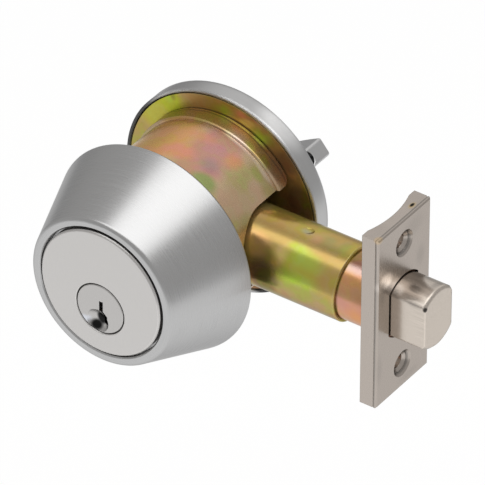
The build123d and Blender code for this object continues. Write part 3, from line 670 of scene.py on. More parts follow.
class PieceTree:
    """A Geometry Nodes tree with named sizes, which is run once to give a plain mesh."""

    WHOLE = "NodeSocketInt"
    FLOAT = "NodeSocketFloat"
    VECTOR = "NodeSocketVector"
    TURN_STEPS = 28  # steps in one turn of a winding
    WIRE_SIDES = 8
    RIDGE_SIDES = 3  # of a thread
    SHARP_ANGLE = 35.0  # degrees, above which an edge stays sharp

    def __init__(self, name: str, sizes: Sequence[str]) -> None:
        """Starts the tree.

        Args:
            name: Name of the tree.
            sizes: Names of its sizes, apart from those of the row.
        """
        self.tree = bpy.data.node_groups.new(name, "GeometryNodeTree")
        kinds = {"Geometry": "NodeSocketGeometry", **dict.fromkeys(sizes, self.FLOAT)}
        kinds.update({"Count": self.WHOLE, "First": self.VECTOR, "Step": self.VECTOR})
        kinds["Material"] = "NodeSocketMaterial"
        for socket, kind in kinds.items():
            self.tree.interface.new_socket(socket, in_out="INPUT", socket_type=kind)
        self.tree.interface.new_socket("Geometry", in_out="OUTPUT", socket_type=kinds["Geometry"])
        self.sketch = NodeSketch(self.tree)
        self.given = self.sketch.add("NodeGroupInput").outputs

    def wind(self, radius: Value, height: Value, turns: Value, wire: Value, sides: int) -> Socket:
        """Winds a wire round the Z axis.

        Args:
            radius: Radius at the middle of the wire.
            height: Height of the winding.
            turns: Number of turns.
            wire: Radius of the wire.
            sides: Sides of its section.

        Returns:
            The mesh.
        """
        path = self.sketch.out("GeometryNodeCurveSpiral", {
            "Resolution": self.TURN_STEPS, "Rotations": turns, "Start Radius": radius, "End Radius": radius,
            "Height": height,
        })
        section = self.sketch.out("GeometryNodeCurvePrimitiveCircle", {"Resolution": sides, "Radius": wire})
        values = {"Curve": path, "Profile Curve": section, "Fill Caps": True}
        return self.sketch.out("GeometryNodeCurveToMesh", values)

    def finish_row(self, shape: Socket) -> None:
        """Repeats the shape along a row and ends the tree.

        Args:
            shape: Mesh of one copy.
        """
        given = self.given
        values = {"Count": given["Count"], "Start Location": given["First"], "Offset": given["Step"]}
        row = self.sketch.out("GeometryNodeMeshLine", values, mode="OFFSET")
        placed = self.sketch.out("GeometryNodeInstanceOnPoints", {"Points": row, "Instance": shape})
        real = self.sketch.out("GeometryNodeRealizeInstances", {0: placed})
        done = self.sketch.out("GeometryNodeSetMaterial", {"Geometry": real, "Material": given["Material"]})
        self.sketch.add("NodeGroupOutput", {"Geometry": done})

    def piece(self, name: str, base: Mesh, place: Matrix, values: dict[str, object]) -> Object:
        """Runs the tree and keeps the result as a plain mesh.

        Args:
            name: Name of the piece.
            base: Mesh that the tree starts from.
            place: Where the result goes in the frame.
            values: The sizes and the material, by name.

        Returns:
            The piece, at the origin.
        """
        maker = place_object(name + "_maker", base)
        modifier = maker.modifiers.new("tree", "NODES")
        modifier.node_group = self.tree
        for item in self.tree.interface.items_tree:
            if item.in_out == "INPUT" and item.name in values:
                modifier[item.identifier] = values[item.name]
        solved = maker.evaluated_get(bpy.context.evaluated_depsgraph_get())
        mesh = bpy.data.meshes.new_from_object(solved)
        maker.modifiers.remove(modifier)
        bpy.data.objects.remove(maker)
        mesh.name = name
        mesh.transform(place)
        mesh.shade_smooth()
        mesh.set_sharp_from_angle(angle=math.radians(self.SHARP_ANGLE))
        return place_object(name, mesh)


def spring_tree() -> PieceTree:
    """Row of coil springs.

    Returns:
        The tree.
    """
    sizes = ("Coil Radius", "Height", "Turns", "Wire Radius")
    tree = PieceTree("coil_springs", sizes)
    tree.finish_row(tree.wind(*(tree.given[size] for size in sizes), tree.WIRE_SIDES))
    return tree


def turned_blank(name: str, profile: Profile, segments: int = 48) -> Mesh:
    """Turns a profile about the Z axis.

    Args:
        name: Name of the mesh.
        profile: Radius and height of each corner, in millimetres, from one end's middle to the other's.
        segments: Number of steps round.

    Returns:
        The mesh.
    """
    sheet = bmesh.new()
    angles = [2.0 * math.pi * step / segments for step in range(segments)]
    rings = []
    for radius, height in profile:
        if radius == 0.0:
            rings.append([sheet.verts.new((0.0, 0.0, height * MM))])
            continue
        places = [(radius * MM * math.cos(a), radius * MM * math.sin(a), height * MM) for a in angles]
        rings.append([sheet.verts.new(place) for place in places])
    for low, high in zip(rings, rings[1:]):
        for step in range(segments):
            corners = [low[step % len(low)], low[(step + 1) % len(low)]]
            corners += [high[(step + 1) % len(high)], high[step % len(high)]]
            sheet.faces.new(list(dict.fromkeys(corners)))
    bmesh.ops.recalc_face_normals(sheet, faces=sheet.faces)
    mesh = bpy.data.meshes.new(name)
    sheet.to_mesh(mesh)
    sheet.free()
    return mesh


@dataclass(frozen=True)
class Fastener:
    """Threaded fastener with a driver recess, along its own Z axis, with its sizes in millimetres."""

    name: str
    recess: Recess
    recess_size: Point  # width, length and depth
    profile: Profile  # radius and height of each corner, from the middle of its tip to that of its head
    thread_radius: float
    thread_depth: float
    thread_start: float
    thread_length: float
    thread_pitch: float

    def tree(self) -> PieceTree:
        """Row of fasteners, with the recess cut out of a turned blank and a ridge for the thread.

        Returns:
            The tree.
        """
        tree = PieceTree(self.recess.value + "_fasteners", (
            "Recess Width", "Recess Length", "Recess Depth", "Head Top", "Thread Radius", "Thread Start",
            "Thread Length", "Thread Turns", "Thread Depth",
        ))
        sketch, given = tree.sketch, tree.given
        height = sketch.math("MULTIPLY", given["Recess Depth"], 2.0)
        length, width = given["Recess Length"], given["Recess Width"]
        if self.recess is Recess.HEX:
            values = {"Vertices": 6, "Radius": sketch.math("MULTIPLY", length, 0.5), "Depth": height}
            cutters = [sketch.out("GeometryNodeMeshCylinder", values)]
        else:
            sides = [(length, width)] if self.recess is Recess.SLOT else [(length, width), (width, length)]
            sizes = [sketch.combine(x, y, height) for x, y in sides]
            cutters = [sketch.out("GeometryNodeMeshCube", {"Size": size}) for size in sizes]
        top = sketch.combine(z=given["Head Top"])
        cut = sketch.add("GeometryNodeMeshBoolean", {0: given["Geometry"]}, operation="DIFFERENCE")
        for cutter in cutters:
            raised = sketch.out("GeometryNodeTransform", {"Geometry": cutter, "Translation": top})
            sketch.feed(cut.inputs[1], raised)
        ridge = tree.wind(
            given["Thread Radius"], given["Thread Length"], given["Thread Turns"], given["Thread Depth"],
            tree.RIDGE_SIDES,
        )
        start = sketch.combine(z=given["Thread Start"])
        thread = sketch.out("GeometryNodeTransform", {"Geometry": ridge, "Translation": start})
        joined = sketch.add("GeometryNodeJoinGeometry")
        sketch.feed(joined.inputs[0], cut.outputs[0])
        sketch.feed(joined.inputs[0], thread)
        tree.finish_row(joined.outputs[0])
        return tree

    def make(self, place: Matrix, material: Material, row: dict[str, object]) -> Object:
        """Makes the piece.

        Args:
            place: Where its axes go in the frame.
            material: Its material.
            row: Count, First and Step of the row, in metres.

        Returns:
            The piece, at the origin.
        """
        width, length, depth = self.recess_size
        sizes = {
            "Recess Width": width, "Recess Length": length, "Recess Depth": depth,
            "Head Top": self.profile[-1][1], "Thread Radius": self.thread_radius,
            "Thread Start": self.thread_start, "Thread Length": self.thread_length,
            "Thread Depth": self.thread_depth,
        }
        values = {name: size * MM for name, size in sizes.items()}
        values["Thread Turns"] = self.thread_length / self.thread_pitch
        blank = turned_blank(self.name + "_blank", self.profile)
        return self.tree().piece(self.name, blank, place, {**values, **row, "Material": material})


def axes(along: Point, up: Point) -> Matrix:
    """Place of a piece that was made on its own axes.

    Args:
        along: Where its X axis points in the frame.
        up: Where its Z axis points.

    Returns:
        The matrix.
    """
    x, z = Vector(along), Vector(up)
    return Matrix((x, z.cross(x), z)).transposed().to_4x4()


INNER_STEEL = SatinMetal("inner_steel", STEEL, Grain.LONG, roughness=0.36)
INNER_BRASS = SatinMetal("inner_brass", BRASS, Grain.TURNED)


@dataclass
class SubAssembly:
    """Pieces that are fitted together."""

    shop: PaintShop

    def build(self) -> None:
        """Makes the pieces that stand for plain CAD nodes, where there are any."""

    def dress(self) -> None:
        """Paints the CAD nodes."""

    def hand_in(self, piece: Object, node: str, body: str, slot: str) -> None:
        """Puts a finished piece in the place of its node.

        Args:
            piece: The piece.
            node: CAD node that it stands for.
            body: Body that it moves with.
            slot: Material slot of the record; not used.
        """
        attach(piece, body)
        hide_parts(node)
        log.info("%s stands for %s, %d faces", piece.name, node, len(piece.data.polygons))


@dataclass
class OutsideTrim(SubAssembly):
    """Tapered collar, and the drum in the door that carries the cylinder."""

    drum_radius: float = 25.9
    band_radius: float = 26.7

    def on_drum(self, angle: float, y: float, raised: bool = False) -> Point:
        """Point on the drum, in millimetres.

        Args:
            angle: Angle about the cylinder axis, from +X upwards, in degrees.
            y: Place along the axis.
            raised: Whether it is on the raised band.

        Returns:
            The point.
        """
        radius = self.band_radius if raised else self.drum_radius
        a = math.radians(angle)
        return radius * math.cos(a), y, radius * math.sin(a)

    def dress(self) -> None:
        """Brushed chrome on the collar, coloured zinc on the drum."""
        spot = self.on_drum
        drum = ZincPlate("housing_zinc", TAN, OLIVE, patches=(
            Patch(spot(76, -2), (9, 20, 8), PINK, 0.95, 0.5),
            Patch(spot(69, -1), (9, 10, 8), (0.6, 0.28, 0.34), 0.5, 0.3),
            Patch(spot(112, -2), (13, 20, 12), ORANGE, 0.9, 0.5),
            Patch(spot(92, -6), (7, 5, 5), SALMON, 0.95, 0.3),
            Patch(spot(87, 3), (6, 3, 5), SALMON, 0.6),
            Patch(spot(69, -5), (4.5, 4, 4), MAUVE, 0.9),
            Patch(spot(61, 2), (4, 5, 4), SALMON, 0.85),
            Patch(spot(64, -11), (5.5, 4.5, 5), MOSS, 1.0, 0.4),
            Patch(spot(47, 6), (5, 3, 6), OLIVE, 0.7),
            Patch(spot(35, 6), (4, 4, 6), OLIVE, 0.8),
            Patch(spot(27, -7), (3, 5, 5), OLIVE, 0.7),
            Patch(spot(90, 11.5, True), (40, 3.6, 14), OCHRE, 1.0, 0.7),
            Patch(spot(108, 10, True), (18, 4, 9), BROWN, 0.45, 0.6),
            Patch(spot(85, 12, True), (3, 3, 4), OLIVE, 0.6),
            Patch(spot(72, 10, True), (6, 3, 4), TAN, 0.8),
            Patch(spot(62, 10, True), (3, 2, 4), GREEN, 0.5),
            # painted highlight along the band's crease
            Patch(spot(68, 8.4, True), (8, 1.4, 6), (0.95, 0.78, 0.66), 0.8, 0.3),
            Patch(spot(48, 8.4, True), (6, 1.4, 8), (0.9, 0.76, 0.6), 0.7, 0.3),
            Patch(spot(45, 12.5, True), (8, 4, 10), BROWN, 0.85, 0.6),
            # painted shadow: a thin dark ring by the band's end, next to the mounting plate
            Patch((0, 12.7, 0), (60, 0.4, 60), BLACK_AND_SHADE, 0.8, 0.3),
            Patch(spot(72, 13.6, True), (10, 0.9, 8), (0.85, 0.8, 0.25), 0.95, 0.6),
            Patch(spot(66, 13.6, True), (1.8, 0.9, 1.8), SALMON, 0.6),
        ))
        self.shop.paint({
            "tapered_collar": SatinMetal(
                "collar_satin_chrome", CHROME, Grain.TURNED, roughness=0.28, grain_pitch=0.16,
                grain_shade=0.12,
            ),
            "bore_housing": drum,
            "housing_posts": INNER_STEEL,
        })


@dataclass
class KeyCylinder(SubAssembly):
    """Pin-tumbler cylinder: shell, plug, pins, springs and the screws that hold it."""

    pins: int = 6
    spring_turns: float = 9.0
    wire_radius: float = 0.2
    retainer_screw_radius: float = 0.9
    retainer_head_radius: float = 1.6
    retainer_slot: Point = (0.4, 4.0, 0.45)  # width, length and depth
    set_screw_radius: float = 1.45
    set_screw_socket: Point = (0.0, 1.5, 1.4)  # no width of its own, length across its corners, depth
    thread_pitch: float = 0.5
    thread_height: float = 0.2
    ridge_radius: float = 0.14  # of the wire that makes the thread
    ridge_lift: float = 0.05  # its middle above the thread's root

    def build(self) -> None:
        """Makes the springs and the screws."""
        self.make_springs()
        self.make_retainer_screws()
        self.make_set_screw()

    def make_springs(self) -> None:
        """Six coil springs over the driver pins."""
        low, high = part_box("pin_springs")
        outer = (high[0] - low[0]) / 2.0
        wire = self.wire_radius * MM
        first = low[1] + outer
        step = (high[1] - outer - first) / (self.pins - 1)
        base = bpy.data.meshes.new("coil_base")
        piece = spring_tree().piece("coil_springs", base, axes((0, 1, 0), (0, 0, 1)), {
            "Coil Radius": outer - wire, "Wire Radius": wire, "Height": high[2] - low[2] - 2.0 * wire,
            "Turns": self.spring_turns, "Count": self.pins, "First": (first, 0.0, low[2] + wire),
            "Step": (step, 0.0, 0.0), "Material": self.shop.material(INNER_STEEL),
        })
        self.hand_in(piece, "pin_springs", "lock_body", "plain_steel")

    def make_retainer_screws(self) -> None:
        """Two slotted countersunk screws in the back of the plug."""
        low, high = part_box("retainer_screws")
        base, top = low[1] / MM, high[1] / MM
        shank, head = self.retainer_screw_radius, self.retainer_head_radius
        root = shank - self.thread_height
        neck = top - (head - shank)
        profile = (
            (0.0, base), (root - 0.2, base), (root, base + 0.3), (root, neck - 0.4), (shank, neck - 0.2),
            (shank, neck), (head, top - 0.1), (head - 0.1, top), (0.0, top),
        )
        screw = Fastener(
            "slotted_retainer_screws", Recess.SLOT, self.retainer_slot, profile, root + self.ridge_lift,
            self.ridge_radius, base + 0.4, neck - base - 0.9, self.thread_pitch,
        )
        spread = high[0] - head * MM
        row = {"Count": 2, "First": (-spread, -TURN_Z * MM, 0.0), "Step": (2.0 * spread, 0.0, 0.0)}
        piece = screw.make(axes((1, 0, 0), (0, 1, 0)), self.shop.material(INNER_STEEL), row)
        self.hand_in(piece, "retainer_screws", "plug", "plain_steel")

    def make_set_screw(self) -> None:
        """Hexagon-socket screw that holds the cylinder in the housing."""
        low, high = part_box("cylinder_set_screw")
        middle = (low[1] + high[1]) / 2.0
        inner, outer = -high[0] / MM, -low[0] / MM
        radius = self.set_screw_radius
        root = radius - self.thread_height
        profile = (
            (0.0, inner), (root - 0.3, inner), (root, inner + 0.3), (root, outer - 0.3), (root - 0.25, outer),
            (0.0, outer),
        )
        screw = Fastener(
            "socket_set_screw", Recess.HEX, self.set_screw_socket, profile, root + self.ridge_lift,
            self.ridge_radius, inner + 0.4, outer - inner - 0.8, self.thread_pitch,
        )
        row = {"Count": 1, "First": (middle, 0.0, 0.0), "Step": (MM, 0.0, 0.0)}
        piece = screw.make(axes((0, 1, 0), (-1, 0, 0)), self.shop.material(INNER_STEEL), row)
        self.hand_in(piece, "cylinder_set_screw", "lock_body", "plain_steel")

    def dress(self) -> None:
        """Satin chrome on the face and the plug, brass and steel inside."""
        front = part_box("cylinder_shell")[0][1] / MM
        # the lighter edge is a painted highlight round the face's rim
        face = SatinMetal(
            "face_satin_chrome", FACE_CHROME, Grain.UPRIGHT, roughness=0.34, mottle=0.03, edge_radius=0.5,
            edge_highlight=1.3,
        )
        plug = SatinMetal("plug_satin_chrome", shade(FACE_CHROME, 0.86), Grain.UPRIGHT, mottle=0.03, patches=(
            # painted reflection: a pale blue sheen on the left of the key dish
            Patch((-5.0, front + 0.7, TURN_Z - 5.2), (2.4, 2.0, 1.8), (0.76, 0.79, 0.86), 0.9),
            # painted shade in the key dish and the keyway
            Patch((-1.7, front + 1.5, TURN_Z - 6.7), (2.4, 3.0, 2.1), BLACK_AND_SHADE, 1.0, 0.45),
            Patch((-0.2, front + 1.5, TURN_Z - 4.0), (1.9, 3.0, 2.6), BLACK_AND_SHADE, 1.0, 0.55),
        ))
        self.shop.paint({
            "cylinder_shell": face, "key_plug": plug, "bottom_pins": INNER_BRASS, "driver_pins": INNER_BRASS,
            "chamber_caps": INNER_BRASS, "plug_retainer": INNER_BRASS,
        })


@dataclass
class InsideTrim(SubAssembly):
    """Rose, mounting plate, through bolts and thumbturn on the inside of the door."""

    plate_y: float = 13.85
    bolt_radius: float = 2.1
    bolt_head_radius: float = 4.0
    bolt_head_height: float = 1.8
    cross_recess: Point = (0.9, 4.4, 1.3)  # width, length and depth
    thread_pitch: float = 0.8
    thread_length: float = 14.0
    thread_height: float = 0.35
    ridge_radius: float = 0.24  # of the wire that makes the thread
    ridge_lift: float = 0.1  # its middle above the thread's root

    def build(self) -> None:
        """Makes the two through bolts with their cross recesses."""
        low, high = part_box("through_bolts")
        base, top = low[1] / MM, high[1] / MM
        shank, head = self.bolt_radius, self.bolt_head_radius
        root = shank - self.thread_height
        under = top - self.bolt_head_height
        threaded = base + self.thread_length
        profile = (
            (0.0, base), (root - 0.4, base), (root, base + 0.6), (root, threaded), (shank, threaded + 0.3),
            (shank, under), (head - 0.1, under), (head, under + 0.1), (head, under + 0.6),
            (head - 0.14, under + 1.0), (head - 0.5, under + 1.34), (head - 1.1, under + 1.58),
            (head - 2.2, under + 1.75), (0.0, top),
        )
        bolt = Fastener(
            "cross_through_bolts", Recess.CROSS, self.cross_recess, profile, root + self.ridge_lift,
            self.ridge_radius, base + 0.7, self.thread_length - 1.2, self.thread_pitch,
        )
        spread = high[2] - head * MM
        row = {"Count": 2, "First": (-spread, 0.0, 0.0), "Step": (2.0 * spread, 0.0, 0.0)}
        chrome = SatinMetal("screw_head_chrome", CHROME, Grain.TURNED)
        piece = bolt.make(axes((0, 0, 1), (0, 1, 0)), self.shop.material(chrome), row)
        self.hand_in(piece, "through_bolts", "lock_body", "satin_chrome")

    def grip_painted_shade(self) -> tuple[Patch, ...]:
        """Painted shade in the hollows beside the rose, at both ends of the grip."""
        ends = ((21.2, 26.3, 13.0), (-21.2, 26.3, 2.0 * TURN_Z - 13.0))
        return tuple(Patch(end, (2.3, 1.6, 2.3), BLACK_AND_SHADE, 0.97, 0.8) for end in ends)

    def dress(self) -> None:
        """Brushed chrome on rose and thumbturn, coloured zinc on the mounting plate."""
        y = self.plate_y
        plate = ZincPlate("mounting_plate_zinc", OCHRE, OLIVE, roughness=0.34, patches=(
            Patch((-21, y, 21), (11, 4, 11), LEMON, 1.0, 0.6),
            Patch((-18, y, 24.5), (3, 4, 2.5), GREEN, 0.6),
            Patch((-16.5, y, 25.8), (1.4, 4, 1.4), BROWN, 0.6),
            Patch((1, y, 28), (3.5, 4, 2.5), GREEN, 0.6),
            Patch((6.5, y, 29), (3, 4, 2), SALMON, 0.85),
            Patch((8.5, y, 26.8), (4, 4, 2), (0.8, 0.66, 0.2), 0.9, 0.3),
            Patch((13.5, y, 24.2), (5.5, 4, 4), GREEN, 0.85, 0.3),
            Patch((10.5, y, 29), (5, 4, 1.4), RUST, 0.7),
            Patch((14.5, y, 26.5), (2, 4, 2), RUST, 0.5),
            # painted shade where the plate lies in the dark behind the drum's notch
            Patch((22, y, 19), (6, 4, 5), shade(BROWN, 0.75), 0.8, 0.4),
            Patch((27, y, 7), (7, 5, 8), shade(BROWN, 0.5), 0.85, 0.5),
            # painted shade on the plate below the tube
            Patch((11, y, -28.7), (14, 4, 8), BROWN, 1.0, 0.6),
        ))
        rim_light_and_shade = (
            # painted highlight on the upper right of the rim
            Patch((17.5, 17.5, 27.5), (11, 6, 11), shade(CHROME, 1.7), 0.9, 0.3),
            # painted shade on the bottom of the rim, below the tube
            Patch((11.5, 14, -26), (10, 3, 4.4), BLACK_AND_SHADE, 0.9, 0.7),
            # painted shade along the rim's left edge
            Patch((-31.5, 13.3, 12), (16, 1.3, 24), BLACK_AND_SHADE, 0.85, 0.5),
        )
        rose = SatinMetal(
            "rose_satin_chrome", CHROME, Grain.TURNED, roughness=0.31, grain_pitch=0.2, edge_radius=1.6,
            patches=rim_light_and_shade,
        )
        # painted highlight on the edges, painted shade underneath and in the hollows at its ends
        turn = SatinMetal(
            "thumbturn_satin_chrome", shade(CHROME, 1.15), Grain.LONG, edge_radius=0.7, edge_highlight=1.4,
            paint_underside_shade=True, wander=0.0, patches=self.grip_painted_shade(),
        )
        self.shop.paint({
            "mounting_plate": plate, "inside_rose": rose, "turn_washer": INNER_STEEL,
            "turn_retaining_ring": INNER_STEEL, "thumbturn": turn,
        })


@dataclass
class BoltWork(SubAssembly):
    """Bolt, its tubes and plates, and the crank that throws it."""

    rear_radius: float = 11.4
    front_radius: float = 10.4
    face_x: float = 70.8

    def on_tube(self, x: float, angle: float, radius: float) -> Point:
        """Point on a tube in millimetres, at an angle in degrees from the top to the door's outside."""
        a = math.radians(angle)
        return x, -radius * math.sin(a), radius * math.cos(a)

    def rear_finish(self) -> ZincPlate:
        """Film on the rear tube: gold with green, pink and brown patches.

        Returns:
            The finish.
        """
        spot = partial(self.on_tube, radius=self.rear_radius)
        # painted highlight along the tube's edges
        return ZincPlate("rear_tube_zinc", GOLD, OCHRE, roughness=0.2, edge_highlight=1.5, tint=0.5, patches=(
            Patch(spot(27, 5), (9, 5, 3), OCHRE, 0.9, 0.3),
            # painted light over the dark reflection of the drum's notch
            Patch(spot(26.5, 51), (7.5, 4.5, 5), (1.0, 0.6, 0.22), 0.9, 0.5),
            Patch(spot(31, 100), (6, 5, 8), BROWN, 0.95, 0.55),
            Patch(spot(44, 62), (8, 6, 9), LEMON, 0.9, 0.3),
            Patch(spot(40.5, 34), (5.5, 2.5, 2.5), GREEN, 0.7),
            Patch(spot(44, 47), (9, 3.5, 4.5), GREEN, 0.85),
            Patch(spot(43, 81), (11, 5, 4), GREEN, 0.85),
            Patch(spot(36, 52), (3.5, 4, 4), (0.95, 0.68, 0.28), 0.6),
            Patch(spot(45, 100), (18, 6, 4), OLIVE, 0.75, 0.4),
            Patch(spot(39, 108), (6, 3, 3), PINK, 0.5),
            Patch(spot(51, 108), (6, 4, 3), PINK, 0.35),
            Patch(spot(44, 124), (20, 4, 3), (0.5, 0.32, 0.2), 0.7, 0.3),
            Patch(spot(49, 15), (8, 2.5, 2), shade(OLIVE, 0.8), 0.6),
            Patch(spot(46.5, 4), (4, 3, 3), OLIVE, 0.8),
            Patch(spot(52, 4), (3, 4, 3), OLIVE, 0.8),
            Patch(spot(43, 10), (3, 3, 3), COPPER, 0.5),
            Patch(spot(39.3, 3), (2.6, 2.0, 2), (0.46, 0.41, 0.35), 0.75),
        ))

    def front_finish(self) -> ZincPlate:
        """Film on the front tube: pink, with orange below and a dark top.

        Returns:
            The finish.
        """
        spot = partial(self.on_tube, radius=self.front_radius)
        return ZincPlate("front_tube_zinc", COPPER, SALMON, roughness=0.2, patches=(
            Patch(spot(58, 8), (14, 4, 2.5), shade(RUST, 0.8), 0.95, 0.5),
            # painted highlight: paler pink where the highlight falls
            Patch(spot(58, 31), (14, 2.2, 2.4), (0.72, 0.52, 0.49), 0.85, 0.3),
            Patch(spot(58, 46), (14, 3, 3), ORANGE, 0.6),
            # painted shadow just past the end of the rear tube
            Patch((55.4, 0, 0), (0.9, 40, 40), shade(BROWN, 0.6), 0.9, 0.3),
            Patch(spot(62, 66), (5, 3, 4), OCHRE, 0.5),
            Patch(spot(57, 84), (4, 4, 4), PINK, 0.6),
            Patch(spot(62, 106), (5, 4, 4), ORANGE, 0.8),
        ))

    def plate_finish(self) -> SatinMetal:
        """Satin nickel on the plates, with smudges, a tarnished corner, a chip in the top edge, painted
        highlights on the edges, and a painted reflection of the bolt with painted light beside it.

        Returns:
            The finish.
        """
        x = self.face_x
        low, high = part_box("faceplate")
        joint = x - high[0] / MM + low[0] / MM
        patches = (
            Patch((x + 0.3, 0, 0), (0.9, 60, 80), shade(NICKEL, 0.87), 1.0, 0.6),
            Patch((x - 3.5, -13, 0), (3.5, 1, 60), shade(NICKEL, 0.9), 1.0, 0.8),
            Patch((joint + 0.2, 0, 0), (0.5, 40, 60), SMUDGE_AND_SHADE, 0.8, 0.4),
            # painted light where the bolt's dark reflection falls
            Patch((x, -9.2, 12.8), (3, 4.5, 3.4), (0.9, 0.82, 0.75), 0.9, 0.4),
            Patch((x, 4, 24), (3, 8, 5), SMUDGE_AND_SHADE, 0.2),
            # painted dark reflection of the bolt
            Patch((x, -10.5, 9), (3, 2, 5), SMUDGE_AND_SHADE, 0.35),
            Patch((x, 8, 12), (3, 3, 5), SMUDGE_AND_SHADE, 0.25),
            Patch((x, -11.5, -16), (3, 2, 7), SMUDGE_AND_SHADE, 0.2),
            Patch((x, 3, -26), (3, 7, 2), SMUDGE_AND_SHADE, 0.2),
            Patch((x - 0.7, -11.8, 28.6), (1.6, 2.0, 1.6), (0.62, 0.48, 0.32), 0.85, 0.4),
            Patch((x - 2.1, 6.6, 28.6), (1.2, 2.3, 1.0), BRASS, 0.7, 0.2),
            Patch((x - 2.2, 6.8, 28.6), (0.7, 1.4, 0.8), BLACK_AND_SHADE, 1.0, 0.4),
        )
        return SatinMetal(
            "faceplate_satin_nickel", NICKEL, Grain.UPRIGHT, roughness=0.27, mottle=0.12, wander=0.5,
            edge_highlight=1.3, patches=patches,
        )

    def bolt_finish(self) -> SatinMetal:
        """Satin nickel on the bolt, with worn streaks on top, a painted highlight among them and a spot of
        painted shade at the bevel.

        Returns:
            The finish.
        """
        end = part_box("deadbolt")[1][0] / MM
        patches = (
            Patch((end - 6, -2, 9.5), (4, 2.5, 1.5), SMUDGE_AND_SHADE, 0.45),
            Patch((end - 4, -6.4, 6.8), (3, 1.2, 1.2), SMUDGE_AND_SHADE, 0.35),
            Patch((end - 2.2, 2, 9.5), (1.5, 4, 1.5), SMUDGE_AND_SHADE, 0.4),
            # painted highlight on the top of the bolt
            Patch((end - 10.5, -4.5, 8.3), (3, 3, 1.8), (1.0, 0.94, 0.88), 1.0, 0.3),
            # painted shade where the bevel meets the flat
            Patch((end - 0.3, -6.2, 6.4), (0.9, 0.9, 0.9), BLACK_AND_SHADE, 0.9, 0.4),
        )
        return SatinMetal(
            "bolt_satin_nickel", WORN_NICKEL, Grain.LONG, roughness=0.22, grain_pitch=0.25, grain_shade=0.22,
            mottle=0.1, edge_radius=0.8, patches=patches,
        )

    def dress(self) -> None:
        """Coloured zinc on the tubes, nickel on bolt and plates, steel inside."""
        rear = self.rear_finish()
        nickel = self.plate_finish()
        self.shop.paint({
            "rear_bolt_tube": rear, "tube_rear_cap": rear, "front_bolt_tube": self.front_finish(),
            "bolt_backplate": nickel, "faceplate": nickel, "deadbolt": self.bolt_finish(),
            "bolt_guide_bush": Moulded("guide_nylon", BLACK_AND_SHADE),
        })
        inner = ("tailpiece", "crank", "crank_pin", "saw_guard_pin", "bolt_tail_plates", "tail_rivets")
        self.shop.paint({node: INNER_STEEL for node in inner})


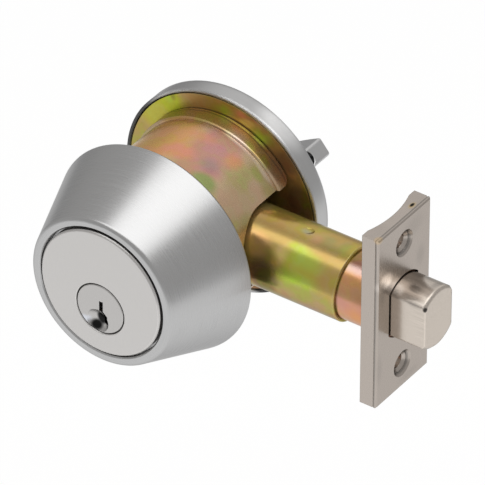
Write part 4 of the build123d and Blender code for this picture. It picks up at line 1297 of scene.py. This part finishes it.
@dataclass
class Studio:
    """Pale floor, soft light and the camera of the photograph."""

    floor_z: float = -0.15
    floor_radius: float = 2.5
    floor_colour: Colour = (0.9, 0.9, 0.9)
    light_colour: Colour = (1.0, 0.99, 0.98)
    azimuth: float = 34.834
    elevation: float = 36.562
    roll: float = 0.224
    distance: float = 2.2489
    lens: float = 601.4
    sensor: float = 36.0
    clip: tuple[float, float] = (0.05, 20.0)
    aim: Point = (0.0181, -0.0018, -0.0006)
    glow_edge: tuple[float, float] = (0.38, 0.7)  # from the middle of the floor to where it is dim
    dim_glow: float = 0.5
    camera_glow: float = 1.05
    glow_share: float = 0.85  # the rest of what is seen of the floor takes the shadow
    wall_grey: float = 0.48
    back_wall_grey: float = 0.8
    back_wall: Point = (-0.212, 0.791, 0.574)  # direction of its middle
    back_wall_edge: tuple[float, float] = (0.74, 0.95)  # cosines from there to its edge and to its full grey
    box_height: float = 1.0
    box_front: float = -0.5  # reach towards the camera and away from it
    box_back: float = 0.21
    box_edges: tuple[float, ...] = (-0.75, -0.4, 0.9)  # from the camera's left to its right
    box_levels: tuple[float, ...] = (1.15, 1.4)

    def build(self) -> None:
        """Builds the floor, the light and the camera."""
        self.make_floor()
        self.make_world()
        for left, right, level in zip(self.box_edges, self.box_edges[1:], self.box_levels):
            self.make_overhead_box(left, right, level)
        self.make_camera()
        bpy.context.scene.view_settings.view_transform = "Standard"

    def make_floor(self) -> None:
        """Round pale floor below the part, white to the camera and in reflections, with a faint shadow."""
        mesh = bpy.data.meshes.new("floor")
        sheet = bmesh.new()
        bmesh.ops.create_circle(sheet, cap_ends=True, segments=96, radius=self.floor_radius)
        bmesh.ops.translate(sheet, verts=sheet.verts, vec=(0.0, 0.0, self.floor_z))
        sheet.to_mesh(mesh)
        sheet.free()
        floor = place_object("floor", mesh)
        material = bpy.data.materials.new("floor_white")
        sketch = empty_sketch(material)
        rays = sketch.add("ShaderNodeLightPath").outputs
        seen = sketch.math("ADD", rays["Is Camera Ray"], rays["Is Glossy Ray"])
        seen = sketch.math("ADD", seen, rays["Is Transmission Ray"], clamp=True)
        place = sketch.add("ShaderNodeTexCoord").outputs["Object"]
        flat = sketch.vector("MULTIPLY", place, (1.0, 1.0, 0.0))
        far = sketch.remap(sketch.vector("LENGTH", flat), *self.glow_edge, 1.0, self.dim_glow)
        level = sketch.math("MAXIMUM", far, sketch.math("MULTIPLY", rays["Is Camera Ray"], self.camera_glow))
        matt = sketch.out("ShaderNodeBsdfDiffuse", {"Color": self.floor_colour})
        glow = sketch.out("ShaderNodeEmission", {"Color": (1.0, 1.0, 1.0), "Strength": level})
        share = sketch.math("MULTIPLY", seen, self.glow_share)
        mixed = sketch.out("ShaderNodeMixShader", {0: share, 1: matt, 2: glow})
        sketch.add("ShaderNodeOutputMaterial", {"Surface": mixed})
        mesh.materials.append(material)

    def make_world(self) -> None:
        """Grey studio walls, with a lighter one behind the part."""
        world = bpy.data.worlds.new("studio")
        sketch = empty_sketch(world)
        direction = sketch.add("ShaderNodeTexCoord").outputs["Generated"]
        behind = sketch.vector("DOT_PRODUCT", direction, self.back_wall)
        grey = sketch.remap(behind, *self.back_wall_edge, self.wall_grey, self.back_wall_grey)
        light = sketch.out("ShaderNodeBackground", {"Color": self.light_colour, "Strength": grey})
        sketch.add("ShaderNodeOutputWorld", {"Surface": light})
        bpy.context.scene.world = world

    def make_overhead_box(self, left: float, right: float, level: float) -> None:
        """One part of the large soft box overhead, square to the camera.

        Args:
            left: Where it starts, measured towards the camera's right.
            right: Where it ends.
            level: How bright it looks.
        """
        data = bpy.data.lights.new("overhead_box", "AREA")
        data.shape = "RECTANGLE"
        data.size = right - left
        data.size_y = self.box_back - self.box_front
        data.energy = level * math.pi * data.size * data.size_y
        lamp = place_object("overhead_box", data)
        turn = Matrix.Rotation(math.radians(self.azimuth), 4, "Z")
        middle = ((left + right) / 2.0, (self.box_front + self.box_back) / 2.0, self.box_height)
        lamp.matrix_world = turn @ Matrix.Translation(middle)

    def make_camera(self) -> None:
        """Camera at the photograph's angle."""
        a, e = math.radians(self.azimuth), math.radians(self.elevation)
        back = Vector((math.sin(a) * math.cos(e), -math.cos(a) * math.cos(e), math.sin(e)))
        data = bpy.data.cameras.new("camera")
        data.sensor_width = self.sensor
        data.lens = self.lens
        data.clip_start, data.clip_end = self.clip
        camera = place_object("camera", data)
        facing = (-back).to_track_quat("-Z", "Y").to_matrix().to_4x4()
        turn = facing @ Matrix.Rotation(math.radians(self.roll), 4, "Z")
        camera.matrix_world = Matrix.Translation(Vector(self.aim) + back * self.distance) @ turn
        bpy.context.scene.camera = camera


def main() -> None:
    """Builds the looks of every sub-assembly, and the studio round it."""
    logging.basicConfig(level=logging.INFO, format="%(name)s: %(message)s")
    shop = PaintShop()
    for assembly in (OutsideTrim(shop), KeyCylinder(shop), InsideTrim(shop), BoltWork(shop)):
        assembly.build()
        assembly.dress()
    Studio().build()


if __name__ == "__main__":
    main()
